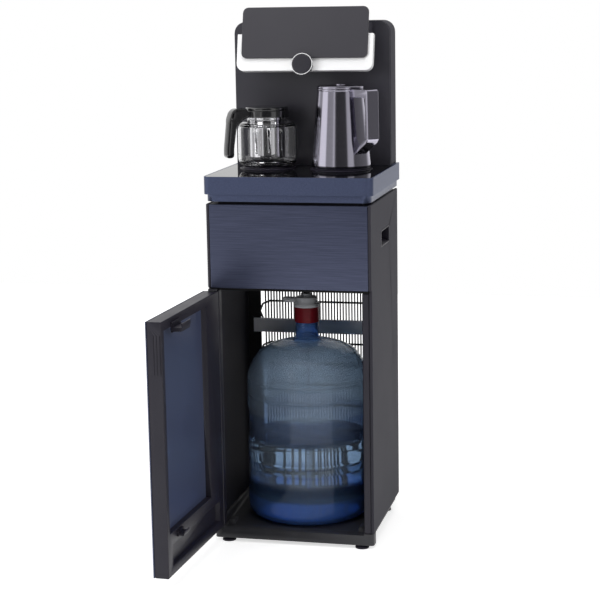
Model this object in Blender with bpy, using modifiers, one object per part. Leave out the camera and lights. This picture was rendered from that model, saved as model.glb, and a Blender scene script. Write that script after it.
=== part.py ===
"""Floor-standing, bottle-fed water dispenser with a tea counter, a kettle, a teapot and an open door.

Metres, +Z up. The cabinet's front is at y = 0 and its rear at CABINET_D while the pieces are drawn. The root
empty then moves everything so that the origin lies on the floor, under the middle of the whole object.
"""
import math

import bmesh
import bpy
from mathutils import Matrix, Vector

COLLECTION_NAME = "water_dispenser"
CUTTERS_NAME = "cutters"

# Driving sizes of the cabinet
CABINET_W = 0.350
CABINET_D = 0.308
FLOOR_GAP = 0.008
SIDE_BOTTOM = 0.034
BAY_FLOOR = 0.030
DOOR_BOTTOM = 0.036
DOOR_TOP = 0.552
SHELF_BOTTOM = 0.553
PANEL_BOTTOM = 0.5585
PANEL_TOP = 0.7355
SIDE_TOP = 0.7365
TRAY_BOTTOM = 0.7415
TRAY_STEP = 0.7565
COUNTER_TOP = 0.7935
BACKSPLASH_TOP = 1.105

# Shared clearances and edge sizes
SEAT = 0.0003
OVERRUN = 0.004
EDGE = 0.0015
SMOOTH_ANGLE = math.radians(35)
MERGE = 0.00001

# Steps in a full turn of a large, a medium and a small round piece
LARGE_STEPS = 28
ROUND_STEPS = 24
SMALL_STEPS = 14

# Sheet and wall thicknesses
SIDE_WALL = 0.006
SHELF_WALL = 0.004
BACK_WALL = 0.003
BACK_INSET = 0.0105


def srgb(value):
    """One colour channel from the 0 to 255 screen scale to the linear scale."""
    share = value / 255
    if share <= 0.04045:
        return share / 12.92
    return ((share + 0.055) / 1.055) ** 2.4


def material(name, colour, roughness, metallic=0.0, alpha=1.0):
    made = bpy.data.materials.new(name)
    made.use_nodes = True
    shader = made.node_tree.nodes["Principled BSDF"]
    linear = [srgb(channel) for channel in colour]
    shader.inputs["Base Color"].default_value = (*linear, 1.0)
    shader.inputs["Roughness"].default_value = roughness
    shader.inputs["Metallic"].default_value = metallic
    shader.inputs["Alpha"].default_value = alpha
    made.diffuse_color = (*linear, alpha)
    return made


def clear_scene():
    for old in list(bpy.data.objects):
        bpy.data.objects.remove(old)


def collection(name):
    made = bpy.data.collections.new(name)
    bpy.context.scene.collection.children.link(made)
    return made


clear_scene()
PARTS = collection(COLLECTION_NAME)
CUTTERS = collection(CUTTERS_NAME)

GRAPHITE = material("graphite_shell", (62, 62, 66), 0.45)
BLACK = material("black_plastic", (26, 26, 29), 0.40)
STEEL_BLACK = material("black_steel", (34, 34, 37), 0.50, 0.6)
BLUE = material("brushed_blue", (70, 76, 98), 0.32, 0.75)
BLUE_PANEL = material("blue_panel", (62, 68, 92), 0.45, 0.2)
DARK_GLASS = material("dark_glass", (22, 22, 26), 0.08)
WHITE = material("white_gloss", (236, 236, 238), 0.25)
CHROME = material("chrome_trim", (205, 205, 210), 0.15, 1.0)
KETTLE_METAL = material("kettle_metal", (96, 94, 108), 0.22, 0.9)
INFUSER_METAL = material("infuser_steel", (190, 190, 194), 0.2, 1.0)
CLEAR_GLASS = material("clear_glass", (235, 240, 242), 0.02, 0.0, 0.3)
BOTTLE_BLUE = material("bottle_blue", (96, 140, 205), 0.1, 0.0, 0.45)
SLEEVE_RED = material("red_sleeve", (190, 44, 52), 0.4)
ADAPTER_GREY = material("adapter_grey", (120, 122, 128), 0.4)
TUBE_WHITE = material("tube_white", (214, 218, 220), 0.4)


def empty(name, location, parent=None, rotation=(0, 0, 0)):
    made = bpy.data.objects.new(name, None)
    made.location = location
    made.rotation_euler = rotation
    made.parent = parent
    PARTS.objects.link(made)
    return made


def place(name, mesh, look, parent, location=(0, 0, 0), rotation=(0, 0, 0)):
    """Put a mesh in the parts collection under its parent empty."""
    made = bpy.data.objects.new(name, mesh)
    if look is not None:
        mesh.materials.clear()
        mesh.materials.append(look)
    made.location = location
    made.rotation_euler = rotation
    made.parent = parent
    PARTS.objects.link(made)
    return made


def smooth(made):
    made.data.shade_smooth()
    made.data.set_sharp_from_angle(angle=SMOOTH_ANGLE)
    return made


def bevel(made, width, segments=2, angle=math.radians(40)):
    step = made.modifiers.new("edges", "BEVEL")
    step.width = width
    step.segments = segments
    step.limit_method = "ANGLE"
    step.angle_limit = angle
    return made


def block_mesh(name, low, high):
    """A box between two corners."""
    low = Vector(low)
    high = Vector(high)
    form = bmesh.new()
    size = Matrix.Diagonal((*(high - low), 1))
    bmesh.ops.create_cube(form, size=1, matrix=Matrix.Translation((low + high) / 2) @ size)
    mesh = bpy.data.meshes.new(name)
    form.to_mesh(mesh)
    form.free()
    return mesh


def block(name, low, high, look, parent, edge=0.0, segments=2):
    made = place(name, block_mesh(name, low, high), look, parent)
    if edge > 0:
        bevel(made, edge, segments)
    return made


def mesh_from(source, name):
    """The evaluated mesh of a curve, with its caps welded."""
    view = bpy.context.view_layer
    view.update()
    mesh = bpy.data.meshes.new_from_object(source.evaluated_get(bpy.context.evaluated_depsgraph_get()))
    mesh.name = name
    form = bmesh.new()
    form.from_mesh(mesh)
    bmesh.ops.remove_doubles(form, verts=form.verts, dist=MERGE)
    form.to_mesh(mesh)
    form.free()
    bpy.data.objects.remove(source)
    return mesh


def outline_mesh(name, outline, low, high, holes=()):
    """An outline in the XY plane, extruded from height low to height high, with its holes left open."""
    curve = bpy.data.curves.new(name, "CURVE")
    curve.dimensions = "2D"
    curve.fill_mode = "BOTH"
    curve.extrude = (high - low) / 2
    for ring in (outline, *holes):
        spline = curve.splines.new("POLY")
        spline.points.add(len(ring) - 1)
        for point, (x, y) in zip(spline.points, ring):
            point.co = (x, y, 0, 1)
        spline.use_cyclic_u = True
    source = bpy.data.objects.new(name, curve)
    PARTS.objects.link(source)
    mesh = mesh_from(source, name)
    mesh.transform(Matrix.Translation((0, 0, (low + high) / 2)))
    return mesh


# Turns that carry an outline drawn in XY to the plane it belongs in
TO_XZ = Matrix.Rotation(math.radians(90), 4, "X")
TO_YZ = Matrix(((0, 0, 1, 0), (1, 0, 0, 0), (0, 1, 0, 0), (0, 0, 0, 1)))


def plate_xz(name, outline, front, rear, holes=()):
    """An outline of (x, z) points, extruded along Y from front to rear."""
    mesh = outline_mesh(name, outline, -rear, -front, holes)
    mesh.transform(TO_XZ)
    return mesh


def plate_yz(name, outline, low_x, high_x, holes=()):
    """An outline of (y, z) points, extruded along X."""
    mesh = outline_mesh(name, outline, low_x, high_x, holes)
    mesh.transform(TO_YZ)
    return mesh


def arc(centre_x, centre_y, radius, start, end, count):
    """Points on an arc, its ends included, angles in degrees."""
    points = []
    for index in range(count + 1):
        angle = math.radians(start + (end - start) * index / count)
        points.append((centre_x + radius * math.cos(angle), centre_y + radius * math.sin(angle)))
    return points


def rounded(low_x, low_y, high_x, high_y, radii, count=4):
    """A rectangle whose corners have their own radii, from low left round by low right."""
    corners = (
        (low_x, low_y, 1, 1, 180),
        (high_x, low_y, -1, 1, 270),
        (high_x, high_y, -1, -1, 0),
        (low_x, high_y, 1, -1, 90),
    )
    points = []
    for (x, y, side_x, side_y, start), radius in zip(corners, radii):
        if radius == 0:
            points.append((x, y))
        else:
            points += arc(x + side_x * radius, y + side_y * radius, radius, start, start + 90, count)
    return points


def turned_mesh(name, profile, steps, closed=False):
    """A profile of (radius, height) points, its outer side from top to bottom, turned round Z."""
    mesh = bpy.data.meshes.new(name)
    count = len(profile)
    edges = [(index, index + 1) for index in range(count - 1)]
    if closed:
        edges.append((count - 1, 0))
    mesh.from_pydata([(radius, 0, height) for radius, height in profile], edges, [])
    source = bpy.data.objects.new(name, mesh)
    PARTS.objects.link(source)
    turn = source.modifiers.new("turn", "SCREW")
    turn.axis = "Z"
    turn.steps = steps
    turn.render_steps = steps
    turn.use_merge_vertices = True
    turn.merge_threshold = MERGE
    result = mesh_from(source, name)
    return result


def turned(name, profile, look, parent, location=(0, 0, 0), steps=ROUND_STEPS, closed=False):
    return smooth(place(name, turned_mesh(name, profile, steps, closed), look, parent, location))


def tube_mesh(name, points, radius, resolution=2):
    """A round bar or hose along its points."""
    curve = bpy.data.curves.new(name, "CURVE")
    curve.dimensions = "3D"
    curve.bevel_depth = radius
    curve.bevel_resolution = resolution
    curve.use_fill_caps = True
    spline = curve.splines.new("POLY")
    spline.points.add(len(points) - 1)
    for point, position in zip(spline.points, points):
        point.co = (*position, 1)
    source = bpy.data.objects.new(name, curve)
    PARTS.objects.link(source)
    return mesh_from(source, name)


def cutter(name, mesh, parent, location=(0, 0, 0), rotation=(0, 0, 0)):
    made = bpy.data.objects.new(name, mesh)
    made.location = location
    made.rotation_euler = rotation
    made.parent = parent
    made.hide_render = True
    made.display_type = "WIRE"
    CUTTERS.objects.link(made)
    return made


def combine(made, other, operation):
    step = made.modifiers.new(operation.lower(), "BOOLEAN")
    step.operation = operation
    step.object = other
    step.solver = "EXACT"
    return made


def cut(made, mesh, parent, location=(0, 0, 0), rotation=(0, 0, 0)):
    return combine(made, cutter(made.name + "_cut", mesh, parent, location, rotation), "DIFFERENCE")


def join(made, mesh, parent, location=(0, 0, 0), rotation=(0, 0, 0)):
    return combine(made, cutter(made.name + "_add", mesh, parent, location, rotation), "UNION")


# Base, feet and plinth
PLINTH_DEPTH = 0.024
PLINTH_TOP = 0.0335
PLINTH_ROUND = 0.007
PAN_BOTTOM = 0.0215
PAN_LIP_TOP = 0.046
PAN_LIP = 0.008
PLINTH_CHEEK = 0.022
FOOT_R = 0.015
FOOT_STEM_R = 0.006
FOOT_PAD_H = 0.005
FOOT_INSET_X = 0.028
FOOT_INSET_Y = 0.030
GUIDE_W = 0.015
GUIDE_D = 0.030
GUIDE_H = 0.009
GUIDE_INSET = 0.023

# Posts, sides and their grips
POST_W = 0.015
POST_D = 0.021
POST_FRONT = 0.0004
SIDE_EDGE = 0.0025
UPPER_FRONT = 0.0063
GRIP_FRONT = 0.1133
GRIP_REAR = 0.2042
GRIP_BOTTOM = 0.6323
GRIP_TOP = 0.6677
GRIP_DEPTH = 0.023
GRIP_WALL = 0.002
GRIP_LIP_SHARE = 0.25
GRIP_CORNER = 0.003

# Upper housing and what it holds
HOSE_R = 0.0075
HOSE_CLEARANCE = 0.0004
TOP_PLATE_H = 0.006
NECK_INSET = 0.0150
PUMP_SIZE = 0.052
PUMP_H = 0.040
PUMP_HEAD_R = 0.019
PUMP_HEAD_H = 0.022
COMPRESSOR_SHARE = 0.1486
COMPRESSOR_H = 0.140
COMPRESSOR_GAP = 0.007
TANK_SHARE = 0.1429
TANK_H = 0.132
TANK_GAP = 0.012
HOUSED_Y = 0.205

# Rear window, crossbar and condenser
WINDOW_HALF = 0.140
WINDOW_BOTTOM = 0.058
WINDOW_TOP = 0.545
LOUVRE_COUNT = 6
LOUVRE_W = 0.180
LOUVRE_H = 0.005
LOUVRE_PITCH = 0.016
BAR_HALF = 0.156
BAR_BOTTOM = 0.405
BAR_TOP = 0.4366
BAR_D = 0.0062
BAR_WALL = 0.0012
WIRE = 0.0016
WIRE_COUNT = 40
WIRE_HALF = 0.131
CONDENSER_TOP = 0.694
PIPE_R = 0.0024
PIPE_FIRST = 0.091
PIPE_PITCH = 0.048
PIPE_PASSES = 13
PIPE_HALF = 0.120
GLAND_R = 0.009
GLAND_BORE_R = 0.0035
GLAND_X = 0.130
GLAND_Z = 0.714
GLAND_L = 0.0065

# Counter
TRAY_SIDE = 0.005
TRAY_FRONT = 0.012
TRAY_RADIUS = 0.016
TRAY_STEP_IN = 0.0055
TRAY_RIM = 0.0026
GLASS_WALL = 0.004
BACKSPLASH_HALF = 0.1735
BACKSPLASH_FRONT = 0.240
BACKSPLASH_REAR_IN = 0.004
BACKSPLASH_RADIUS = 0.025
BACKSPLASH_PANEL = 0.0032
BACKSPLASH_REVEAL = 0.0012

# Head: a plate, a white band and a knob on a face that leans back
FACE_LEAN = math.radians(14)
FACE_FOOT_Y = 0.1634
FACE_BELOW_TOP = 0.0754
PLATE_W = 0.276
PLATE_H = 0.1105
PLATE_WALL = 0.005
PLATE_RADIUS = 0.012
BAND_HALF = 0.1488
BAND_ARM = 0.0137
BAND_BOTTOM = -0.0262
BAND_BAR = 0.0342
BAND_ARM_TOP = 0.0535
BAND_DEPTH = 0.016
BAND_RADIUS = 0.016
HOUSING_TOP_AT = 0.0745
SPOUT_R = 0.008
SPOUT_BORE_R = 0.004
SPOUT_Y = 0.214
SPOUT_TIP = 1.0035
KNOB_R = 0.0222
KNOB_AT = -0.0156
KNOB_FRONT = -0.0171
KNOB_STEM_R = 0.006
RING_W = 0.0014
RING_D = 0.0022
RING_IN = 0.0012

# Door, drawn closed from its hinge axis
DOOR_W = 0.342
DOOR_T = 0.033
DOOR_GAP = 0.0022
DOOR_OPEN = math.radians(92.65)
HINGE_END = 0.0065
HINGE_IN = 0.0115
SKIN_WALL = 0.0027
DOOR_STILE = 0.014
DOOR_HINGE_STILE = 0.078
DOOR_TOP_RAIL = 0.019
DOOR_BOTTOM_RAIL = 0.088
INNER_RECESS = 0.012
INNER_WALL = 0.004
CHANNEL_IN = 0.026
CHANNEL_BOTTOM = 0.019
CHANNEL_TOP = 0.064
CHANNEL_DEPTH = 0.010
GROOVE_W = 0.0020
GROOVE_DEPTH = 0.0012
GROOVE_TOP = 0.026
GROOVE_H = 0.078
GROOVE_FROM_INNER = (0.0029, 0.0094, 0.0157)
PIN_R = 0.003
PIN_CLEARANCE = 0.0003
PIN_DEPTH = 0.012
BRACKET_HALF = 0.0085
BRACKET_T = 0.0035
BRACKET_GAP = 0.0010
LATCH_FROM_FREE = 0.052
LATCH_W = 0.048
LATCH_H = 0.020
LATCH_BASE = 0.004
LATCH_REACH = 0.024
LATCH_BELOW_TOP = 0.010
CATCH_W = 0.030
CATCH_H = 0.012
CATCH_REACH = 0.016

# Bottle
BOTTLE_R = 0.135
BOTTLE_BEHIND_MIDDLE = 0.002
BOTTLE_WALL = 0.0018
BOTTLE_BASE_R = 0.112
BOTTLE_BASE_ROUND = 0.026
BOTTLE_PUSH_R = 0.085
BOTTLE_PUSH_H = 0.007
BOTTLE_STRAIGHT = 0.308
BOTTLE_SHOULDER_TOP = 0.388
BOTTLE_NECK_R = 0.0255
BOTTLE_MOUTH = 0.463
COLLAR_R = 0.031
COLLAR_H = 0.008
RIB_AT = (0.112, 0.130, 0.271, 0.304)
RIB_H = 0.009
RIB_DEPTH = 0.0030
WAIST_BOTTOM = 0.183
WAIST_TOP = 0.238
WAIST_DEPTH = 0.0035
SLEEVE_H = 0.0334
SLEEVE_WALL = 0.0016
ADAPTER_R = 0.0285
ADAPTER_H = 0.0286
ADAPTER_BODY_R = 0.0235
ADAPTER_TOP_R = 0.0125
TAB_REACH = 0.051
TAB_W = 0.016
TAB_H = 0.010
SUCTION_R = 0.005
SUCTION_FOOT = 0.020

# Kettle, drawn with its handle along +X
KETTLE_X = 0.0805
KETTLE_Y = 0.160
KETTLE_TURN = math.radians(-38.5)
POWER_BASE_R = 0.067
POWER_BASE_H = 0.0020
KETTLE_FOOT_R = 0.0625
KETTLE_FOOT_H = 0.0030
KETTLE_BOTTOM_R = 0.0645
KETTLE_TOP_R = 0.0500
KETTLE_H = 0.1700
KETTLE_WALL = 0.0015
KETTLE_ROUND = 0.004
KETTLE_RIM = 0.0012
LIP_REACH = 0.009
LIP_HALF = 0.014
LIP_H = 0.022
HANDLE_W = 0.031
HANDLE_REACH = 0.105
HANDLE_KNEE = 0.068
HANDLE_LOW = 0.034
HANDLE_T = 0.008
HANDLE_ARM_T = 0.0165
LID_T = 0.0055
LID_PLUG_H = 0.006
LID_CROWN = 0.0016
LID_BUTTON_R = 0.011
LID_BUTTON_H = 0.0018

# Teapot, drawn with its handle along +X
TEAPOT_X = -0.0850
TEAPOT_Y = 0.1730
TEAPOT_TURN = math.radians(221.4)
WARMER_R = 0.061
WARMER_H = 0.0050
WARMER_TOP_R = 0.054
POT_R = 0.0640
POT_BASE_R = 0.048
POT_WALL = 0.0020
POT_BASE_ROUND = 0.017
POT_STRAIGHT_TOP = 0.076
POT_SHOULDER_TOP = 0.0985
POT_NECK_R = 0.0425
POT_RIM = 0.1130
COLLAR_WALL = 0.005
COLLAR_LOW = 0.1055
COLLAR_TOP = 0.1200
POT_LID_R = 0.0465
POT_LID_T = 0.0072
POT_LID_DOME = 0.0022
POT_LID_PLUG = 0.0050
ARM_RISE = 0.007
GRIP_W = 0.022
GRIP_T = 0.019
GRIP_REACH = 0.1027
GRIP_SPLAY = 0.007
GRIP_FOOT = 0.021
GRIP_KNEE = 0.100
GRIP_HEEL = 0.013
HOLE_RIM = 0.0045
INFUSER_R = 0.0370
INFUSER_WALL = 0.0010
INFUSER_LOW = 0.0190
INFUSER_FLANGE_R = 0.0420
INFUSER_FLANGE_T = 0.0010
SLIT_COUNT = 8
SLIT_W = 0.003
SLIT_LOW = 0.032
SLIT_H = 0.044

# Sizes that follow from the ones above
INNER_HALF = CABINET_W / 2 - SIDE_WALL - SEAT
BACK_FRONT = CABINET_D - BACK_INSET - BACK_WALL
BACK_REAR = CABINET_D - BACK_INSET
SHELF_TOP = SHELF_BOTTOM + SHELF_WALL
HINGE_X = -DOOR_W / 2 + HINGE_END
HINGE_Y = -DOOR_GAP - HINGE_IN
FREE_END = DOOR_W - HINGE_END
BOTTLE_FLOOR = BAY_FLOOR + SEAT
POWER_TOP = COUNTER_TOP + SEAT + POWER_BASE_H
WARMER_TOP = COUNTER_TOP + SEAT + WARMER_H
FACE_FOOT_Z = BACKSPLASH_TOP - FACE_BELOW_TOP
BOTTLE_Y = CABINET_D / 2 + BOTTLE_BEHIND_MIDDLE
GRIP_IN = CABINET_W / 2 - GRIP_DEPTH - GRIP_WALL
COMPRESSOR_R = COMPRESSOR_SHARE * CABINET_W
COMPRESSOR_X = GRIP_IN - COMPRESSOR_GAP - COMPRESSOR_R - 2 * EDGE
TANK_R = TANK_SHARE * CABINET_W
TANK_X = TANK_GAP + TANK_R - GRIP_IN


def turned_point(x, y):
    """Where a point of the closed door, measured from the hinge, lies with the door open."""
    across = x * math.cos(DOOR_OPEN) + y * math.sin(DOOR_OPEN)
    along = -x * math.sin(DOOR_OPEN) + y * math.cos(DOOR_OPEN)
    return HINGE_X + across, HINGE_Y + along


# The object's outline on the floor, with the door open, gives the origin
LOW_X = turned_point(FREE_END, HINGE_IN - DOOR_T)[0]
HIGH_X = CABINET_W / 2 + TRAY_SIDE
LOW_Y = turned_point(FREE_END, HINGE_IN)[1]
HIGH_Y = CABINET_D
ROOT = empty("dispenser", (-(LOW_X + HIGH_X) / 2, -(LOW_Y + HIGH_Y) / 2, 0))


def base_pan():
    """Plinth bar, thin floor and raised lips, with two guides that keep the bottle off the front corners."""
    half = CABINET_W / 2
    bar = rounded(-half, 0, half, PLINTH_DEPTH, (PLINTH_ROUND, PLINTH_ROUND, EDGE, EDGE))
    pan = place("base_pan", outline_mesh("plinth", bar, FLOOR_GAP, PLINTH_TOP), STEEL_BLACK, ROOT)
    bevel(pan, EDGE, 1)
    inner = half - PLINTH_CHEEK
    low = (-inner, -OVERRUN, BAY_FLOOR)
    cut(pan, block_mesh("sill", low, (inner, PLINTH_DEPTH + OVERRUN, PLINTH_TOP + OVERRUN)), ROOT)
    rear = BACK_FRONT - SEAT
    floor_low = (-INNER_HALF, PLINTH_DEPTH / 2, PAN_BOTTOM)
    join(pan, block_mesh("pan_floor", floor_low, (INNER_HALF, rear, BAY_FLOOR)), ROOT)
    lip_front = POST_FRONT + POST_D + SEAT
    for side in (-1, 1):
        outer = side * INNER_HALF
        inner = side * (INNER_HALF - PAN_LIP)
        low = (min(outer, inner), lip_front, PAN_BOTTOM + EDGE)
        join(pan, block_mesh("pan_lip", low, (max(outer, inner), rear - EDGE, PAN_LIP_TOP)), ROOT)
        guide = side * (CABINET_W / 2 - GUIDE_INSET - GUIDE_W / 2)
        low = (guide - GUIDE_W / 2, PLINTH_DEPTH, BAY_FLOOR - EDGE)
        high = (guide + GUIDE_W / 2, PLINTH_DEPTH + GUIDE_D, BAY_FLOOR + GUIDE_H)
        join(pan, block_mesh("guide", low, high), ROOT)


def feet():
    """Four levelling feet: the front pair under the plinth bar, the rear pair under the pan."""
    places = (
        ("front_left", -1, PLINTH_DEPTH / 2, FLOOR_GAP),
        ("front_right", 1, PLINTH_DEPTH / 2, FLOOR_GAP),
        ("rear_left", -1, CABINET_D - FOOT_INSET_Y, PAN_BOTTOM),
        ("rear_right", 1, CABINET_D - FOOT_INSET_Y, PAN_BOTTOM),
    )
    for name, side, y, under in places:
        top = under - SEAT
        profile = [
            (0, top),
            (FOOT_STEM_R, top),
            (FOOT_STEM_R, FOOT_PAD_H + EDGE),
            (FOOT_R - EDGE, FOOT_PAD_H),
            (FOOT_R, FOOT_PAD_H - EDGE),
            (FOOT_R, 0),
            (0, 0),
        ]
        x = side * (CABINET_W / 2 - FOOT_INSET_X)
        turned("foot_" + name, profile, BLACK, ROOT, (x, y, 0), SMALL_STEPS)


def grip_outline(grow):
    """The grip's rounded outline on the side panel, in (y, z)."""
    corner = GRIP_CORNER + grow
    low = GRIP_BOTTOM - grow
    return rounded(GRIP_FRONT - grow, low, GRIP_REAR + grow, GRIP_TOP + grow, (corner,) * 4)


def sides():
    """Side panels whose upper front edges stand forward beside the blue panel, each with a grip hole."""
    outline = [
        (0, SIDE_BOTTOM),
        (CABINET_D, SIDE_BOTTOM),
        (CABINET_D, SIDE_TOP),
        (-UPPER_FRONT, SIDE_TOP),
        (-UPPER_FRONT, PANEL_BOTTOM),
        (0, PANEL_BOTTOM),
    ]
    hole = grip_outline(SEAT)
    half = CABINET_W / 2
    for name, low, high in (("left", -half, SIDE_WALL - half), ("right", half - SIDE_WALL, half)):
        panel = place("side_" + name, plate_yz("side", outline, low, high, (hole,)), GRAPHITE, ROOT)
        bevel(panel, EDGE, 1)


def grips():
    """Moulded finger cups: deep under the top edge, with a floor that slopes out to the side's face."""
    half = CABINET_W / 2
    for name, side in (("left", -1), ("right", 1)):
        face = side * (half - SEAT)
        back = side * (half - GRIP_DEPTH - GRIP_WALL)
        mesh = plate_yz("cup", grip_outline(0), min(face, back), max(face, back))
        cup = place("grip_" + name, mesh, BLACK, ROOT)
        rise = GRIP_BOTTOM + GRIP_WALL
        top = GRIP_TOP - GRIP_WALL
        shoulder = rise + GRIP_LIP_SHARE * (top - rise)
        pocket = [
            (face + side * OVERRUN, rise),
            (face, rise),
            (side * (half - GRIP_DEPTH), shoulder),
            (side * (half - GRIP_DEPTH), top),
            (face + side * OVERRUN, top),
        ]
        cut(cup, plate_xz("pocket", pocket, GRIP_FRONT + GRIP_WALL, GRIP_REAR - GRIP_WALL), ROOT)


def posts():
    """Front posts that stand on the plinth's raised ends and carry the shelf."""
    for name, side in (("left", -1), ("right", 1)):
        outer = side * INNER_HALF
        inner = side * (INNER_HALF - POST_W)
        low = (min(outer, inner), POST_FRONT, PLINTH_TOP + SEAT)
        high = (max(outer, inner), POST_FRONT + POST_D, SHELF_BOTTOM - SEAT)
        block("post_" + name, low, high, BLACK, ROOT, SIDE_EDGE, 2)


def shelf():
    """The plate between the bottle bay and the upper housing, with the hose's hole."""
    low = (-INNER_HALF, POST_FRONT, SHELF_BOTTOM)
    plate = block("shelf", low, (INNER_HALF, BACK_FRONT - SEAT, SHELF_TOP), STEEL_BLACK, ROOT)
    radius = HOSE_R + HOSE_CLEARANCE
    hole = [(0, SHELF_TOP + OVERRUN), (radius, SHELF_TOP + OVERRUN), (radius, SHELF_BOTTOM - OVERRUN)]
    hole.append((0, SHELF_BOTTOM - OVERRUN))
    cut(plate, turned_mesh("hose_hole", hole, SMALL_STEPS), ROOT, (0, BOTTLE_Y, 0))


def housing_top():
    """The plate that closes the housing and carries the tray on a neck that leaves a shadow gap."""
    low_z = PANEL_TOP - TOP_PLATE_H
    rear = BACK_FRONT - SEAT
    plate = block("housing_top", (-INNER_HALF, POST_FRONT, low_z), (INNER_HALF, rear, PANEL_TOP), BLACK, ROOT)
    low = (-INNER_HALF + NECK_INSET, NECK_INSET, PANEL_TOP - EDGE)
    high = (INNER_HALF - NECK_INSET, rear - NECK_INSET, TRAY_BOTTOM - SEAT)
    join(plate, block_mesh("neck", low, high), ROOT)


def front_panel():
    low = (-INNER_HALF, -UPPER_FRONT, PANEL_BOTTOM)
    block("front_panel", low, (INNER_HALF, -SEAT, PANEL_TOP), BLUE, ROOT, EDGE, 3)


def housed():
    """Pump, compressor and cold tank on the shelf, and the hose that comes down to the bottle's adapter."""
    seat = SHELF_TOP + SEAT
    adapter_top = BOTTLE_FLOOR + BOTTLE_MOUTH + SEAT + ADAPTER_H
    hose = [(0, BOTTLE_Y, adapter_top + SEAT), (0, BOTTLE_Y, SHELF_TOP)]
    smooth(place("suction_hose", tube_mesh("hose", hose, HOSE_R, 3), BLACK, ROOT))
    half = PUMP_SIZE / 2
    low = (-half, BOTTLE_Y - half, seat)
    pump = block("pump", low, (half, BOTTLE_Y + half, seat + PUMP_H), BLACK, ROOT, EDGE)
    crown = PUMP_H + PUMP_HEAD_H
    head = [(0, crown), (PUMP_HEAD_R, crown), (PUMP_HEAD_R, PUMP_H / 2), (0, PUMP_H / 2)]
    join(pump, turned_mesh("pump_head", head, ROUND_STEPS), ROOT, (0, BOTTLE_Y, seat))
    rise = COMPRESSOR_R / 2
    shoulder = COMPRESSOR_H - rise
    flange = COMPRESSOR_R + 2 * EDGE
    middle = COMPRESSOR_H / 2
    profile = [(0, COMPRESSOR_H)]
    profile += [(COMPRESSOR_R * x, shoulder + rise * z) for x, z in arc(0, 0, 1, 75, 0, 4)]
    profile += [(COMPRESSOR_R, middle + EDGE), (flange, middle + EDGE), (flange, middle - EDGE)]
    profile += [(COMPRESSOR_R, middle - EDGE), (COMPRESSOR_R, 0), (0, 0)]
    turned("compressor", profile, STEEL_BLACK, ROOT, (COMPRESSOR_X, HOUSED_Y, seat))
    lip = TANK_R - 2 * EDGE
    profile = [(0, TANK_H), (lip, TANK_H), (TANK_R, TANK_H - 2 * EDGE), (TANK_R, 2 * EDGE), (lip, 0), (0, 0)]
    turned("cold_tank", profile, TUBE_WHITE, ROOT, (TANK_X, HOUSED_Y, seat))


def back():
    """Rear sheets: the lower has the condenser's window, the upper has louvres and the cord's gland."""
    half = INNER_HALF
    low_z = BAY_FLOOR + SEAT
    outline = [(-half, low_z), (half, low_z), (half, SHELF_BOTTOM - SEAT), (-half, SHELF_BOTTOM - SEAT)]
    window = rounded(-WINDOW_HALF, WINDOW_BOTTOM, WINDOW_HALF, WINDOW_TOP, (SIDE_WALL,) * 4, 3)
    place("back_lower", plate_xz("lower", outline, BACK_FRONT, BACK_REAR, (window,)), STEEL_BLACK, ROOT)
    low_z = SHELF_BOTTOM + SEAT
    outline = [(-half, low_z), (half, low_z), (half, PANEL_TOP), (-half, PANEL_TOP)]
    slots = []
    middle = (low_z + PANEL_TOP) / 2
    across = LOUVRE_W / 2
    up = LOUVRE_H / 2
    for index in range(LOUVRE_COUNT):
        z = middle + (index - (LOUVRE_COUNT - 1) / 2) * LOUVRE_PITCH
        slots.append(rounded(-across, z - up, across, z + up, (up - MERGE,) * 4, 2))
    hole = arc(GLAND_X, GLAND_Z, GLAND_R - 2 * EDGE, 0, 330, 11)
    place("back_upper", plate_xz("upper", outline, BACK_FRONT, BACK_REAR, (*slots, hole)), STEEL_BLACK, ROOT)
    profile = [
        (GLAND_BORE_R + EDGE, GLAND_L),
        (GLAND_R - EDGE, GLAND_L),
        (GLAND_R, GLAND_L - EDGE),
        (GLAND_R, 0),
        (GLAND_BORE_R, 0),
        (GLAND_BORE_R, GLAND_L - EDGE),
    ]
    spot = (GLAND_X, BACK_REAR + SEAT, GLAND_Z)
    gland = turned("cord_gland", profile, BLACK, ROOT, spot, SMALL_STEPS, True)
    gland.rotation_euler = (math.radians(-90), 0, 0)


def crossbar():
    """A channel across the bay's rear, open towards the back sheet."""
    rear = BACK_FRONT - SEAT
    front = rear - BAR_D
    outline = [
        (front, BAR_BOTTOM),
        (rear, BAR_BOTTOM),
        (rear, BAR_BOTTOM + BAR_WALL),
        (front + BAR_WALL, BAR_BOTTOM + BAR_WALL),
        (front + BAR_WALL, BAR_TOP - BAR_WALL),
        (rear, BAR_TOP - BAR_WALL),
        (rear, BAR_TOP),
        (front, BAR_TOP),
    ]
    place("crossbar", plate_yz("crossbar", outline, -BAR_HALF, BAR_HALF), GRAPHITE, ROOT)


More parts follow.
